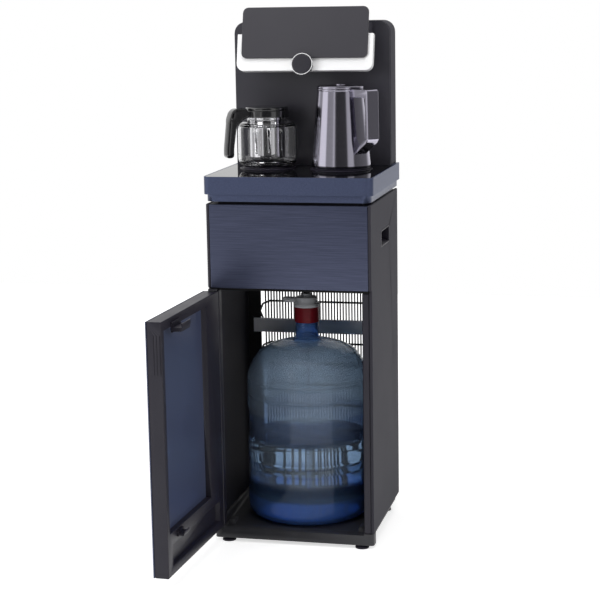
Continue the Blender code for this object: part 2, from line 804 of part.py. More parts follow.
def condenser():
    """Wire-on-tube condenser: a serpentine pipe between two grids of upright wires."""
    low = -WIRE_HALF - WIRE / 2
    high = WIRE_HALF + WIRE / 2
    pitch = 2 * WIRE_HALF / (WIRE_COUNT - 1)
    outline = [(low, WINDOW_BOTTOM), (high, WINDOW_BOTTOM), (high, CONDENSER_TOP), (low, CONDENSER_TOP)]
    gaps = []
    for index in range(WIRE_COUNT - 1):
        left = low + WIRE + index * pitch
        right = left + pitch - WIRE
        foot = WINDOW_BOTTOM + WIRE
        top = CONDENSER_TOP - WIRE
        gaps.append([(left, foot), (right, foot), (right, top), (left, top)])
    front = BACK_REAR + SEAT
    pipe_y = front + WIRE + SEAT + PIPE_R
    rear = pipe_y + PIPE_R + SEAT
    place("condenser_wires_front", plate_xz("wires", outline, front, front + WIRE, gaps), STEEL_BLACK, ROOT)
    place("condenser_wires_rear", plate_xz("wires", outline, rear, rear + WIRE, gaps), STEEL_BLACK, ROOT)
    radius = PIPE_PITCH / 2
    points = [(-PIPE_HALF, pipe_y, PIPE_FIRST)]
    for index in range(PIPE_PASSES - 1):
        side = 1 if index % 2 == 0 else -1
        middle = PIPE_FIRST + (index + 0.5) * PIPE_PITCH
        for x, z in arc(0, 0, radius, -90, 90, 4):
            points.append((side * (PIPE_HALF + x), pipe_y, middle + z))
    side = 1 if PIPE_PASSES % 2 == 1 else -1
    points.append((side * PIPE_HALF, pipe_y, PIPE_FIRST + (PIPE_PASSES - 1) * PIPE_PITCH))
    smooth(place("condenser_pipe", tube_mesh("pipe", points, PIPE_R, 2), STEEL_BLACK, ROOT))


def counter():
    """Blue tray with a stepped rim, a flush glass top, the kettle's power base and the teapot's warmer."""
    half = CABINET_W / 2 + TRAY_SIDE
    radii = (TRAY_RADIUS, TRAY_RADIUS, EDGE, EDGE)
    outline = rounded(-half, -TRAY_FRONT, half, CABINET_D, radii, 6)
    tray = place("tray", outline_mesh("tray", outline, TRAY_STEP, COUNTER_TOP), BLUE, ROOT)
    inset = TRAY_STEP_IN
    step = rounded(inset - half, inset - TRAY_FRONT, half - inset, CABINET_D - EDGE, radii, 6)
    bevel(tray, EDGE, 2)
    join(tray, outline_mesh("step", step, TRAY_BOTTOM, TRAY_STEP + EDGE), ROOT)
    rim = TRAY_RIM
    corner = TRAY_RADIUS - rim
    radii = (corner, corner, 0, 0)
    pocket = rounded(rim - half, rim - TRAY_FRONT, half - rim, BACKSPLASH_FRONT - SEAT, radii, 6)
    floor = COUNTER_TOP - GLASS_WALL
    cut(tray, outline_mesh("glass_pocket", pocket, floor, COUNTER_TOP + OVERRUN), ROOT)
    rim += SEAT
    corner = TRAY_RADIUS - rim
    radii = (corner, corner, 0, 0)
    glass = rounded(rim - half, rim - TRAY_FRONT, half - rim, BACKSPLASH_FRONT - 2 * SEAT, radii, 6)
    place("glass_top", outline_mesh("glass", glass, floor + SEAT, COUNTER_TOP), DARK_GLASS, ROOT)
    seat = COUNTER_TOP + SEAT
    top = POWER_BASE_H
    inner = POWER_BASE_R - 2 * EDGE
    profile = [(0, top), (inner, top), (POWER_BASE_R, top - EDGE), (POWER_BASE_R, 0), (0, 0)]
    turned("power_base", profile, BLACK, ROOT, (KETTLE_X, KETTLE_Y, seat), LARGE_STEPS)
    top = WARMER_H
    step = top - 2 * EDGE
    profile = [(0, top), (WARMER_TOP_R, top), (WARMER_TOP_R, step), (WARMER_R - EDGE, step)]
    profile += [(WARMER_R, step - EDGE), (WARMER_R, 0), (0, 0)]
    turned("warming_plate", profile, BLACK, ROOT, (TEAPOT_X, TEAPOT_Y, seat), LARGE_STEPS)


def backsplash():
    """Upright rear column with rounded shoulders and a flat front panel."""
    half = BACKSPLASH_HALF
    low = COUNTER_TOP + SEAT
    split = BACKSPLASH_FRONT + BACKSPLASH_PANEL
    radius = BACKSPLASH_RADIUS
    outline = rounded(-half, low, half, BACKSPLASH_TOP, (0, 0, radius, radius), 6)
    rear = CABINET_D - BACKSPLASH_REAR_IN
    shell = place("backsplash_shell", plate_xz("shell", outline, split + SEAT, rear), GRAPHITE, ROOT)
    bevel(shell, EDGE, 2)
    reveal = BACKSPLASH_REVEAL
    radius -= reveal
    face = rounded(reveal - half, low, half - reveal, BACKSPLASH_TOP - reveal, (0, 0, radius, radius), 6)
    place("backsplash_panel", plate_xz("panel", face, BACKSPLASH_FRONT, split), GRAPHITE, ROOT)


def on_face(depth, rise):
    """World (y, z) of a point behind and above the foot of the leaning face."""
    y = FACE_FOOT_Y + depth * math.cos(FACE_LEAN) + rise * math.sin(FACE_LEAN)
    z = FACE_FOOT_Z - depth * math.sin(FACE_LEAN) + rise * math.cos(FACE_LEAN)
    return y, z


def head():
    """The overhanging head: housing, white band, leaning plate, knob with its ring, and two spouts."""
    face = empty("head_face", (0, FACE_FOOT_Y, FACE_FOOT_Z), ROOT, (-FACE_LEAN, 0, 0))
    half = PLATE_W / 2
    radii = (PLATE_RADIUS,) * 4
    plate = rounded(-half, 0, half, PLATE_H, radii, 4)
    made = place("control_plate", plate_xz("plate", plate, 0, PLATE_WALL), DARK_GLASS, face)
    bevel(made, EDGE, 2)
    arm = BAND_HALF - BAND_ARM
    inner = BAND_BOTTOM + BAND_BAR
    foot = BAND_RADIUS
    top = BAND_ARM_TOP
    band = [(-BAND_HALF, top)]
    band += arc(foot - BAND_HALF, BAND_BOTTOM + foot, foot, 180, 270, 5)
    band += arc(BAND_HALF - foot, BAND_BOTTOM + foot, foot, 270, 360, 5)
    band += [(BAND_HALF, top), (arm, top), (arm, inner), (-arm, inner), (-arm, top)]
    front = PLATE_WALL + SEAT
    made = place("head_band", plate_xz("band", band, front, front + BAND_DEPTH), WHITE, face)
    bevel(made, EDGE, 2)
    behind_band = on_face(front + BAND_DEPTH, inner + SEAT)
    top_edge = on_face(front, HOUSING_TOP_AT)
    rear = BACKSPLASH_FRONT - SEAT
    housing = [
        on_face(front, inner + SEAT),
        behind_band,
        (rear, behind_band[1]),
        (rear, top_edge[1]),
        top_edge,
    ]
    side = arm - SEAT
    made = place("head_housing", plate_yz("housing", housing, -side, side), GRAPHITE, ROOT)
    length = behind_band[1] - SEAT - SPOUT_TIP
    for name, x in (("left", TEAPOT_X), ("right", KETTLE_X)):
        profile = [
            (SPOUT_BORE_R, length),
            (SPOUT_R, length),
            (SPOUT_R, EDGE),
            (SPOUT_R - EDGE, 0),
            (SPOUT_BORE_R, 0),
        ]
        turned("spout_" + name, profile, BLACK, ROOT, (x, SPOUT_Y, SPOUT_TIP), SMALL_STEPS, True)
    knob_axis = empty("knob_axis", (0, 0, KNOB_AT), face, (math.radians(90), 0, 0))
    lift = -KNOB_FRONT
    profile = [
        (0, lift),
        (KNOB_R - 2 * EDGE, lift),
        (KNOB_R - EDGE, lift - EDGE / 2),
        (KNOB_R, lift - EDGE),
        (KNOB_R, EDGE),
        (KNOB_STEM_R, EDGE),
        (KNOB_STEM_R, -PLATE_WALL),
        (0, -PLATE_WALL),
    ]
    turned("knob", profile, DARK_GLASS, knob_axis, (0, 0, 0), LARGE_STEPS)
    inner = KNOB_R + SEAT
    outer = inner + RING_W
    high = lift - RING_IN
    low = high - RING_D
    profile = [(inner, high), (outer - RING_W / 2, high), (outer, high - RING_D / 2)]
    profile += [(outer, low), (inner, low)]
    turned("knob_ring", profile, CHROME, knob_axis, (0, 0, 0), LARGE_STEPS, True)


def door():
    """The lower door, drawn closed about its hinge and turned open as photographed."""
    hinge = empty("door_hinge", (HINGE_X, HINGE_Y, 0), ROOT, (0, 0, -DOOR_OPEN))
    low_x = -HINGE_END
    inner_y = HINGE_IN
    outer_y = HINGE_IN - DOOR_T
    split = outer_y + SKIN_WALL
    high = (FREE_END, inner_y, DOOR_TOP)
    frame = block("door_frame", (low_x, split + SEAT, DOOR_BOTTOM), high, BLACK, hinge)
    bevel(frame, EDGE, 1)
    left = low_x + DOOR_HINGE_STILE
    right = FREE_END - DOOR_STILE
    sill = DOOR_BOTTOM + DOOR_BOTTOM_RAIL
    lintel = DOOR_TOP - DOOR_TOP_RAIL
    low = (left, split - OVERRUN, sill)
    cut(frame, block_mesh("window", low, (right, inner_y + OVERRUN, lintel)), hinge)
    low = (low_x + CHANNEL_IN, inner_y - CHANNEL_DEPTH, DOOR_BOTTOM + CHANNEL_BOTTOM)
    high = (FREE_END - CHANNEL_IN, inner_y + OVERRUN, DOOR_BOTTOM + CHANNEL_TOP)
    cut(frame, block_mesh("channel", low, high), hinge)
    top = DOOR_TOP - GROOVE_TOP
    for distance in GROOVE_FROM_INNER:
        y = inner_y - distance
        low = (FREE_END - GROOVE_DEPTH, y - GROOVE_W / 2, top - GROOVE_H)
        cut(frame, block_mesh("groove", low, (FREE_END + OVERRUN, y + GROOVE_W / 2, top)), hinge)
    bore = PIN_R + PIN_CLEARANCE
    for end, outside in ((DOOR_TOP, 1), (DOOR_BOTTOM, -1)):
        high = max(end + outside * OVERRUN, end - outside * PIN_DEPTH)
        low_z = min(end + outside * OVERRUN, end - outside * PIN_DEPTH)
        profile = [(0, high), (bore, high), (bore, low_z), (0, low_z)]
        cut(frame, turned_mesh("bore", profile, SMALL_STEPS), hinge)
    low = (low_x, outer_y, DOOR_BOTTOM)
    block("door_skin", low, (FREE_END, split, DOOR_TOP), BLUE, hinge, EDGE / 2, 2)
    rear = inner_y - INNER_RECESS
    low = (left + SEAT, rear - INNER_WALL, sill + SEAT)
    block("door_inner_panel", low, (right - SEAT, rear, lintel - SEAT), BLUE_PANEL, hinge)
    reach = PIN_DEPTH - SEAT
    above = BRACKET_GAP + BRACKET_T - SEAT
    for name, low_z, high_z in (
        ("top", DOOR_TOP - reach, DOOR_TOP + above),
        ("bottom", DOOR_BOTTOM - above, DOOR_BOTTOM + reach),
    ):
        pin = [(0, high_z), (PIN_R, high_z), (PIN_R, low_z), (0, low_z)]
        turned("hinge_pin_" + name, pin, STEEL_BLACK, hinge, (0, 0, 0), SMALL_STEPS)
    latch_high = DOOR_TOP - LATCH_BELOW_TOP
    latch(hinge, "door_latch", FREE_END - LATCH_FROM_FREE, latch_high, LATCH_W, LATCH_H, LATCH_REACH)
    catch_high = sill - LATCH_BASE
    latch(hinge, "door_catch", FREE_END - LATCH_FROM_FREE, catch_high, CATCH_W, CATCH_H, CATCH_REACH)
    below = DOOR_BOTTOM - BRACKET_GAP - BRACKET_T
    for name, low_z in (("top", DOOR_TOP + BRACKET_GAP), ("bottom", below)):
        outline = arc(HINGE_X, HINGE_Y, BRACKET_HALF, 180, 360, 8)
        outline += [(HINGE_X + BRACKET_HALF, -SEAT), (HINGE_X - BRACKET_HALF, -SEAT)]
        eye = arc(HINGE_X, HINGE_Y, bore, 0, 330, 11)
        mesh = outline_mesh("bracket", outline, low_z, low_z + BRACKET_T, (eye,))
        place("hinge_bracket_" + name, mesh, STEEL_BLACK, ROOT)


def latch(hinge, name, right, high, width, height, reach):
    """A base on the door's inner face with a hooked tongue that reaches into the cabinet."""
    face = HINGE_IN + SEAT
    tongue = LATCH_BASE / 2
    outline = [
        (face, high),
        (face, high - height),
        (face + LATCH_BASE, high - height),
        (face + LATCH_BASE, high - height + tongue),
        (face + reach - tongue, high - height + tongue),
        (face + reach, high - height / 2),
        (face + reach, high - EDGE),
        (face + reach - tongue, high - EDGE),
        (face + reach - tongue, high - height / 2),
        (face + LATCH_BASE, high - height / 2),
        (face + LATCH_BASE, high),
    ]
    place(name, plate_yz(name, outline, right - width, right), BLACK, hinge)


def shell(name, profile, wall, look, parent, steps):
    """A turned outer surface, open at the top, with its wall on the inside."""
    made = turned(name, profile, look, parent, (0, 0, 0), steps)
    step = made.modifiers.new("wall", "SOLIDIFY")
    step.thickness = wall
    step.offset = -1
    step.use_even_offset = True
    return made


def bottle():
    """Water bottle with its sleeve, adapter and suction tube, drawn from the middle of its base."""
    stand = empty("bottle_stand", (0, BOTTLE_Y, BOTTLE_FLOOR), ROOT)
    radius = BOTTLE_R
    neck = BOTTLE_NECK_R
    shoulder = BOTTLE_SHOULDER_TOP
    profile = [(neck, BOTTLE_MOUTH), (neck, shoulder + COLLAR_H), (COLLAR_R, shoulder + COLLAR_H - EDGE)]
    profile.append((COLLAR_R, shoulder))
    shoulder_shares = ((0.30, 0.965), (0.53, 0.87), (0.74, 0.71), (0.88, 0.44), (0.97, 0.16))
    for across, up in shoulder_shares:
        height = BOTTLE_STRAIGHT + up * (shoulder - BOTTLE_STRAIGHT)
        profile.append((neck + across * (radius - neck), height))
    waist = [
        (radius, WAIST_TOP + RIB_H),
        (radius - WAIST_DEPTH, WAIST_TOP),
        (radius - WAIST_DEPTH, WAIST_BOTTOM),
        (radius, WAIST_BOTTOM - RIB_H),
    ]
    rings = [waist]
    for at in RIB_AT:
        rings.append([(radius, at + RIB_H / 2), (radius - RIB_DEPTH, at), (radius, at - RIB_H / 2)])
    for ring in sorted(rings, key=lambda points: -points[0][1]):
        profile += ring
    for x, z in arc(0, 0, 1, 0, -90, 3):
        side = BOTTLE_BASE_R + (radius - BOTTLE_BASE_R) * x
        profile.append((side, BOTTLE_BASE_ROUND * (1 + z)))
    profile += [(BOTTLE_PUSH_R, 0), (BOTTLE_PUSH_R - BOTTLE_PUSH_H, BOTTLE_PUSH_H), (0, BOTTLE_PUSH_H)]
    shell("bottle", profile, BOTTLE_WALL, BOTTLE_BLUE, stand, LARGE_STEPS)
    low = BOTTLE_MOUTH - SLEEVE_H
    inner = neck + SEAT
    outer = inner + SLEEVE_WALL
    profile = [(inner, BOTTLE_MOUTH), (outer, BOTTLE_MOUTH), (outer, low), (inner, low)]
    turned("neck_sleeve", profile, SLEEVE_RED, stand, (0, 0, 0), ROUND_STEPS, True)
    adapter(stand)


def adapter(stand):
    """The cap on the bottle's mouth that holds the suction tube and meets the dispenser's hose."""
    seat = BOTTLE_MOUTH + SEAT
    top = seat + ADAPTER_H
    brim = ADAPTER_H / 4
    profile = [
        (0, top),
        (ADAPTER_TOP_R, top),
        (ADAPTER_TOP_R, top - brim),
        (ADAPTER_BODY_R - EDGE, top - brim),
        (ADAPTER_BODY_R, top - brim - EDGE),
        (ADAPTER_BODY_R, seat + brim + EDGE),
        (ADAPTER_R, seat + brim),
        (ADAPTER_R, seat),
        (0, seat),
    ]
    made = turned("adapter", profile, ADAPTER_GREY, stand)
    middle = seat + brim + EDGE + TAB_H / 2
    low = (-TAB_REACH, -TAB_W / 2, middle - TAB_H / 2)
    high = (-ADAPTER_BODY_R / 2, TAB_W / 2, middle + TAB_H / 2)
    join(made, block_mesh("tab", low, high), stand)
    tube_top = top - brim
    bore = SUCTION_R + SEAT
    hole = [(0, tube_top + SEAT), (bore, tube_top + SEAT), (bore, seat - OVERRUN), (0, seat - OVERRUN)]
    cut(made, turned_mesh("tube_bore", hole, SMALL_STEPS), stand)
    points = [(0, 0, SUCTION_FOOT), (0, 0, tube_top)]
    smooth(place("suction_tube", tube_mesh("tube", points, SUCTION_R, 2), TUBE_WHITE, stand))


def kettle_profile(grow=0.0):
    """The kettle's outer side from its rolled rim down to the middle of its base."""
    low = KETTLE_FOOT_H + SEAT
    rim = KETTLE_TOP_R + KETTLE_RIM + grow
    side = KETTLE_BOTTOM_R + grow
    return [
        (rim - EDGE / 2, KETTLE_H),
        (rim, KETTLE_H - EDGE),
        (rim, KETTLE_H - 2 * EDGE),
        (rim - KETTLE_RIM, KETTLE_H - 2 * EDGE - KETTLE_RIM),
        (side - EDGE / 2, low + KETTLE_ROUND),
        (side - KETTLE_ROUND / 2, low + EDGE / 2),
        (side - KETTLE_ROUND, low),
        (0, low),
    ]


def kettle():
    """Tapered metal kettle with a strap handle, a short lip and a lid hinged at the handle."""
    stand = empty("kettle_stand", (KETTLE_X, KETTLE_Y, POWER_TOP), ROOT, (0, 0, KETTLE_TURN))
    foot = KETTLE_FOOT_H
    profile = [(0, foot), (KETTLE_FOOT_R, foot), (KETTLE_FOOT_R, SEAT), (0, SEAT)]
    turned("kettle_foot", profile, BLACK, stand, (0, 0, 0), LARGE_STEPS)
    body = shell("kettle_body", kettle_profile(), KETTLE_WALL, KETTLE_METAL, stand, LARGE_STEPS)
    wall = KETTLE_WALL
    top = KETTLE_H
    root = KETTLE_TOP_R - wall / 2
    tip = root + KETTLE_RIM + LIP_REACH
    wedge = [(-root, -LIP_HALF), (-tip, 0), (-root, LIP_HALF)]
    join(body, outline_mesh("lip", wedge, top - LIP_H, top - EDGE), stand)
    inner = root - 2 * wall
    half = LIP_HALF - 3 * wall
    channel = [(-inner, -half), (-tip + 3 * wall, 0), (-inner, half)]
    cut(body, outline_mesh("channel", channel, top - LIP_H + 2 * wall, top + OVERRUN), stand)
    kettle_handle(stand)
    kettle_lid(stand)


def kettle_handle(stand):
    """A broad strap: out level with the rim, down, and back to the kettle's foot on a slant."""
    top = KETTLE_H
    inside = KETTLE_TOP_R / 2
    reach = HANDLE_REACH
    strap = HANDLE_T
    under = top - HANDLE_ARM_T
    outline = [
        (inside, top),
        (reach - strap / 2, top),
        (reach, top - strap / 2),
        (reach + EDGE, HANDLE_KNEE),
        (reach - strap / 2, HANDLE_KNEE - strap),
        (KETTLE_BOTTOM_R, HANDLE_LOW),
        (inside, HANDLE_LOW),
        (inside, HANDLE_LOW + strap),
        (KETTLE_BOTTOM_R, HANDLE_LOW + strap),
        (reach - strap, HANDLE_KNEE + strap / 4),
        (reach - strap - EDGE, under - strap / 2),
        (reach - 3 * strap / 2, under),
        (inside, under),
    ]
    half = HANDLE_W / 2
    made = place("kettle_handle", plate_xz("handle", outline, -half, half), KETTLE_METAL, stand)
    bevel(made, EDGE, 2)
    clearance = [(0, top + OVERRUN), (KETTLE_TOP_R + KETTLE_RIM + SEAT, top + OVERRUN)]
    clearance += kettle_profile(SEAT)[1:]
    cut(made, turned_mesh("room", clearance, LARGE_STEPS), stand)


def kettle_lid(stand):
    """A low cap with a plug below and a button in the middle, hinged on the rim at the handle."""
    edge = KETTLE_TOP_R + KETTLE_RIM
    pivot = empty("lid_pivot", (edge, 0, KETTLE_H), stand)
    plug = KETTLE_TOP_R - KETTLE_WALL - KETTLE_RIM
    brim = KETTLE_TOP_R + KETTLE_RIM / 2
    high = SEAT + LID_T
    crown = high + LID_CROWN
    button = crown + LID_BUTTON_H
    profile = [
        (0, button),
        (LID_BUTTON_R - EDGE / 2, button),
        (LID_BUTTON_R, button - EDGE / 2),
        (LID_BUTTON_R, crown),
        (brim / 2, high + LID_CROWN / 2),
        (brim - EDGE, high),
        (brim, high - EDGE),
        (brim, SEAT),
        (plug, SEAT),
        (plug - EDGE, -LID_PLUG_H),
        (0, -LID_PLUG_H),
    ]
    turned("kettle_lid", profile, KETTLE_METAL, pivot, (-edge, 0, 0), LARGE_STEPS)


def teapot():
    """Glass teapot with a moulded collar and hanging grip, a low lid and a slotted infuser."""
    stand = empty("teapot_stand", (TEAPOT_X, TEAPOT_Y, WARMER_TOP), ROOT, (0, 0, TEAPOT_TURN))
    profile = [(POT_NECK_R, POT_RIM), (POT_NECK_R, POT_SHOULDER_TOP)]
    bulge = POT_R - POT_NECK_R
    drop = POT_SHOULDER_TOP - POT_STRAIGHT_TOP
    for x, z in arc(0, 0, 1, 66, 0, 3):
        profile.append((POT_NECK_R + bulge * x, POT_STRAIGHT_TOP + drop * z))
    fall = POT_R - POT_BASE_R
    for x, z in arc(0, 0, 1, 0, -90, 3):
        profile.append((POT_BASE_R + fall * x, SEAT + POT_BASE_ROUND * (1 + z)))
    profile.append((0, SEAT))
    shell("teapot_glass", profile, POT_WALL, CLEAR_GLASS, stand, LARGE_STEPS)
    teapot_handle(stand)
    teapot_lid(stand)
    infuser(stand)


def teapot_handle(stand):
    """A clamp ring round the neck with an arm, and a grip that hangs from it with a through hole."""
    ring = POT_NECK_R + SEAT
    collar = ring + COLLAR_WALL
    profile = [(ring, COLLAR_TOP), (collar - EDGE, COLLAR_TOP), (collar, COLLAR_TOP - EDGE)]
    profile += [(collar, COLLAR_LOW), (ring, COLLAR_LOW)]
    made = turned("teapot_handle", profile, BLACK, stand, (0, 0, 0), LARGE_STEPS, True)
    arm_root = ring + COLLAR_WALL / 3
    arm_top = COLLAR_TOP + ARM_RISE
    outer_knee = GRIP_REACH - GRIP_SPLAY
    shoulder = outer_knee - GRIP_T / 2
    rounding = GRIP_T / 2
    grip = [
        (arm_root, COLLAR_TOP - EDGE / 2),
        (collar + EDGE, COLLAR_TOP - EDGE / 2),
        (collar + COLLAR_WALL, arm_top),
        (shoulder - ARM_RISE, arm_top),
        (shoulder + HOLE_RIM / 2, COLLAR_TOP),
        (outer_knee, GRIP_KNEE),
        (GRIP_REACH, GRIP_FOOT + GRIP_T),
    ]
    grip += arc(GRIP_REACH - rounding, GRIP_FOOT + rounding, rounding, 0, -180, 6)[1:]
    grip += [
        (outer_knee - GRIP_T, GRIP_KNEE - GRIP_HEEL),
        (collar + GRIP_HEEL, COLLAR_LOW - HOLE_RIM),
        (arm_root, COLLAR_LOW + EDGE / 2),
    ]
    hole = [
        (shoulder - ARM_RISE, COLLAR_TOP),
        (shoulder, COLLAR_TOP - HOLE_RIM),
        (outer_knee - HOLE_RIM, GRIP_KNEE + HOLE_RIM),
        (outer_knee - 2 * HOLE_RIM, GRIP_KNEE + HOLE_RIM),
    ]
    half = GRIP_W / 2
    handle = place("grip_form", plate_xz("grip", grip, -half, half), None, stand)
    bevel(handle, EDGE / 2, 1)
    join(made, mesh_from(handle, "grip"), stand)
    cut(made, plate_xz("grip_hole", hole, -half - OVERRUN, half + OVERRUN), stand)


def teapot_lid(stand):
    """A low domed lid with a plug that drops into the infuser's mouth."""
    low = COLLAR_TOP + SEAT
    high = low + POT_LID_T
    plug = INFUSER_R - INFUSER_WALL - POT_WALL
    profile = [
        (0, high + POT_LID_DOME),
        (POT_LID_R / 2, high + POT_LID_DOME / 2),
        (POT_LID_R - 2 * EDGE, high),
        (POT_LID_R, high - EDGE),
        (POT_LID_R, low),
        (plug, low),
        (plug, low - POT_LID_PLUG),
        (0, low - POT_LID_PLUG),
    ]
    turned("teapot_lid", profile, BLACK, stand, (0, 0, 0), LARGE_STEPS)


def infuser(stand):
    """A deep steel cup that hangs in the neck by its flange, with upright slits."""
    low = POT_RIM + SEAT
    high = low + INFUSER_FLANGE_T
    wall = INFUSER_WALL
    bottom = INFUSER_LOW
    profile = [
        (INFUSER_R - wall, high),
        (INFUSER_FLANGE_R, high),
        (INFUSER_FLANGE_R, low),
        (INFUSER_R, low),
        (INFUSER_R, bottom + EDGE),
        (INFUSER_R - EDGE, bottom),
        (0, bottom),
        (0, bottom + wall),
        (INFUSER_R - EDGE - wall / 2, bottom + wall),
        (INFUSER_R - wall, bottom + EDGE + wall / 2),
    ]
    made = turned("infuser", profile, INFUSER_METAL, stand, (0, 0, 0), ROUND_STEPS, True)
    half = SLIT_W / 2
    outside = INFUSER_R + OVERRUN
    for index in range(SLIT_COUNT // 2):
        mesh = block_mesh("slit", (-outside, -half, SLIT_LOW), (outside, half, SLIT_LOW + SLIT_H))
        cut(made, mesh, stand, (0, 0, 0), (0, 0, math.pi * (2 * index + 1) / SLIT_COUNT))


def build():
    base_pan()
    feet()
    sides()
    grips()
    posts()
    shelf()
    housing_top()
    front_panel()
    housed()
    back()
    crossbar()
    condenser()
    counter()
    backsplash()
    head()
    door()
    bottle()
    kettle()
    teapot()


build()
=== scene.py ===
"""Looks of a floor-standing, bottle-fed water dispenser with a kettle and a teapot on its counter."""
import math

import bmesh
import bpy
from mathutils import Matrix, Vector


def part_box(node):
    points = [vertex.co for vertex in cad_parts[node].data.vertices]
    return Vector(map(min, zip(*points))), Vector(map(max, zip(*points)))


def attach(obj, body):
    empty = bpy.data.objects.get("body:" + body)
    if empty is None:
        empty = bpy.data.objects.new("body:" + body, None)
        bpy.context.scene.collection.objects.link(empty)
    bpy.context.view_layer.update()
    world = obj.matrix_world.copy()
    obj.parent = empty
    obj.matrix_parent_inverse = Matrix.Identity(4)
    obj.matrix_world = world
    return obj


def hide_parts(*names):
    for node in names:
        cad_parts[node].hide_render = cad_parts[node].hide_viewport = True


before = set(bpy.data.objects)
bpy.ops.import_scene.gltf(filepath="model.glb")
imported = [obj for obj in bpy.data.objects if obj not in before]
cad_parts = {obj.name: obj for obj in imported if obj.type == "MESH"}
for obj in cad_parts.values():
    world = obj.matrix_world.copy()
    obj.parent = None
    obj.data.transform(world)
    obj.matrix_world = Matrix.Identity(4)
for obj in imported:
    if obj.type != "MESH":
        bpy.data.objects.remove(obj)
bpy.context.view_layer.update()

# Camera
# It stands a little to the right of the front, about as high as the head, with a long lens. Its place and its
# turns come from fitting the cabinet's corners to the photograph.
camera_spot = Vector((0.8259, -3.2993, 1.1722))
camera_turn = math.radians(13.431)
camera_dip = math.radians(10.556)
camera_tilt = math.radians(-0.9735)
ahead = Vector((-math.sin(camera_turn), math.cos(camera_turn), 0)) * math.cos(camera_dip)
ahead.z = -math.sin(camera_dip)
level = Vector((math.cos(camera_turn), math.sin(camera_turn), 0))
upright = level.cross(ahead)
across = level * math.cos(camera_tilt) + upright * math.sin(camera_tilt)
above = upright * math.cos(camera_tilt) - level * math.sin(camera_tilt)
lens = bpy.data.cameras.new("camera")
lens.sensor_width = 36
lens.lens = 99.85
camera = bpy.data.objects.new("camera", lens)
camera.matrix_world = Matrix.Translation(camera_spot) @ Matrix((across, above, -ahead)).transposed().to_4x4()
bpy.context.scene.collection.objects.link(camera)
bpy.context.scene.camera = camera
bpy.context.scene.view_settings.view_transform = "Standard"


# Room and lamps
# A white sweep behind and below, a tall soft box on the left, weak strips beside the camera and a dark side
# on the right, which together give polished metal its bands. Three large soft lamps light the object.
def add(tree, kind, values=None, links=None, **settings):
    """Add a node with its settings, the values of its sockets, and its links."""
    made = tree.nodes.new(kind)
    for key, value in settings.items():
        setattr(made, key, value)
    for socket, value in (values or {}).items():
        made.inputs[socket].default_value = value
    for socket, source in (links or {}).items():
        tree.links.new(source, made.inputs[socket])
    return made


def ramp_stops(made, stops):
    """Set a colour ramp's stops from (place, grey or colour) pairs."""
    ramp = made.color_ramp
    while len(ramp.elements) < len(stops):
        ramp.elements.new(0.5)
    for element, (place, value) in zip(ramp.elements, stops):
        element.position = place
        element.color = value if isinstance(value, tuple) else (value, value, value, 1)


room = bpy.data.worlds.new("room")
bpy.context.scene.world = room
room.use_nodes = True
tree = room.node_tree
tree.nodes.clear()
rays = add(tree, "ShaderNodeLightPath")
bent = add(
    tree, "ShaderNodeMath", None,
    {0: rays.outputs["Is Glossy Ray"], 1: rays.outputs["Is Transmission Ray"]}, operation="MAXIMUM",
)
facing = add(tree, "ShaderNodeTexCoord")
split = add(tree, "ShaderNodeSeparateXYZ", None, {0: facing.outputs["Generated"]})
bearing = add(
    tree, "ShaderNodeMath", None, {0: split.outputs["X"], 1: split.outputs["Y"]}, operation="ARCTAN2"
)
turn_share = add(
    tree, "ShaderNodeMapRange",
    {"From Min": -math.pi, "From Max": math.pi, "To Min": 0.0, "To Max": 1.0}, {0: bearing.outputs[0]},
)
# The ramp goes once round the horizon: 0 and 1 are the front, 0.25 the left, 0.5 the back and 0.75 the right.
# With the strength that follows it, 0.72 is white
horizon = add(tree, "ShaderNodeValToRGB", None, {0: turn_share.outputs[0]})
ramp_stops(horizon, (
    (0.000, 0.04), (0.022, 0.04), (0.034, 0.10), (0.049, 0.66), (0.066, 0.34), (0.138, 0.30), (0.150, 0.95),
    (0.225, 0.95), (0.240, 0.32), (0.275, 0.36), (0.320, 0.72), (0.600, 0.72), (0.650, 0.16), (0.825, 0.08),
    (0.838, 0.50), (0.892, 0.46), (0.905, 0.05), (1.000, 0.04),
))
mirrored = add(tree, "ShaderNodeBackground", {"Strength": 1.4}, {0: horizon.outputs[0]})
ambient = add(tree, "ShaderNodeBackground", {"Color": (1, 1, 1, 1), "Strength": 0.36})
white = add(tree, "ShaderNodeBackground", {"Color": (1, 1, 1, 1), "Strength": 1.0})
lit = add(
    tree, "ShaderNodeMixShader", None, {0: bent.outputs[0], 1: ambient.outputs[0], 2: mirrored.outputs[0]}
)
shown = add(
    tree, "ShaderNodeMixShader", None,
    {0: rays.outputs["Is Camera Ray"], 1: lit.outputs[0], 2: white.outputs[0]},
)
add(tree, "ShaderNodeOutputWorld", None, {0: shown.outputs[0]})

lamp_aim = Vector((0, 0, 0.6))
lamps = (
    ("lamp_right", Vector((2.6, -0.3, 1.7)), 1.6, 22),
    ("lamp_left", Vector((-1.5, -2.0, 1.6)), 1.4, 28),
    ("lamp_top", Vector((0.0, -0.6, 2.9)), 1.7, 30),
)
for name, spot, width, power in lamps:
    light = bpy.data.lights.new(name, "AREA")
    light.size = width
    light.energy = power
    lamp = bpy.data.objects.new(name, light)
    lamp.location = spot
    lamp.visible_glossy = False
    lamp.rotation_euler = (lamp_aim - spot).to_track_quat("-Z", "Y").to_euler()
    bpy.context.scene.collection.objects.link(lamp)


def colour(code):
    """A hex colour on the screen scale, turned to the linear scale."""
    channels = [int(code[place:place + 2], 16) / 255 for place in (1, 3, 5)]
    linear = [value / 12.92 if value <= 0.04045 else ((value + 0.055) / 1.055) ** 2.4 for value in channels]
    return (*linear, 1)


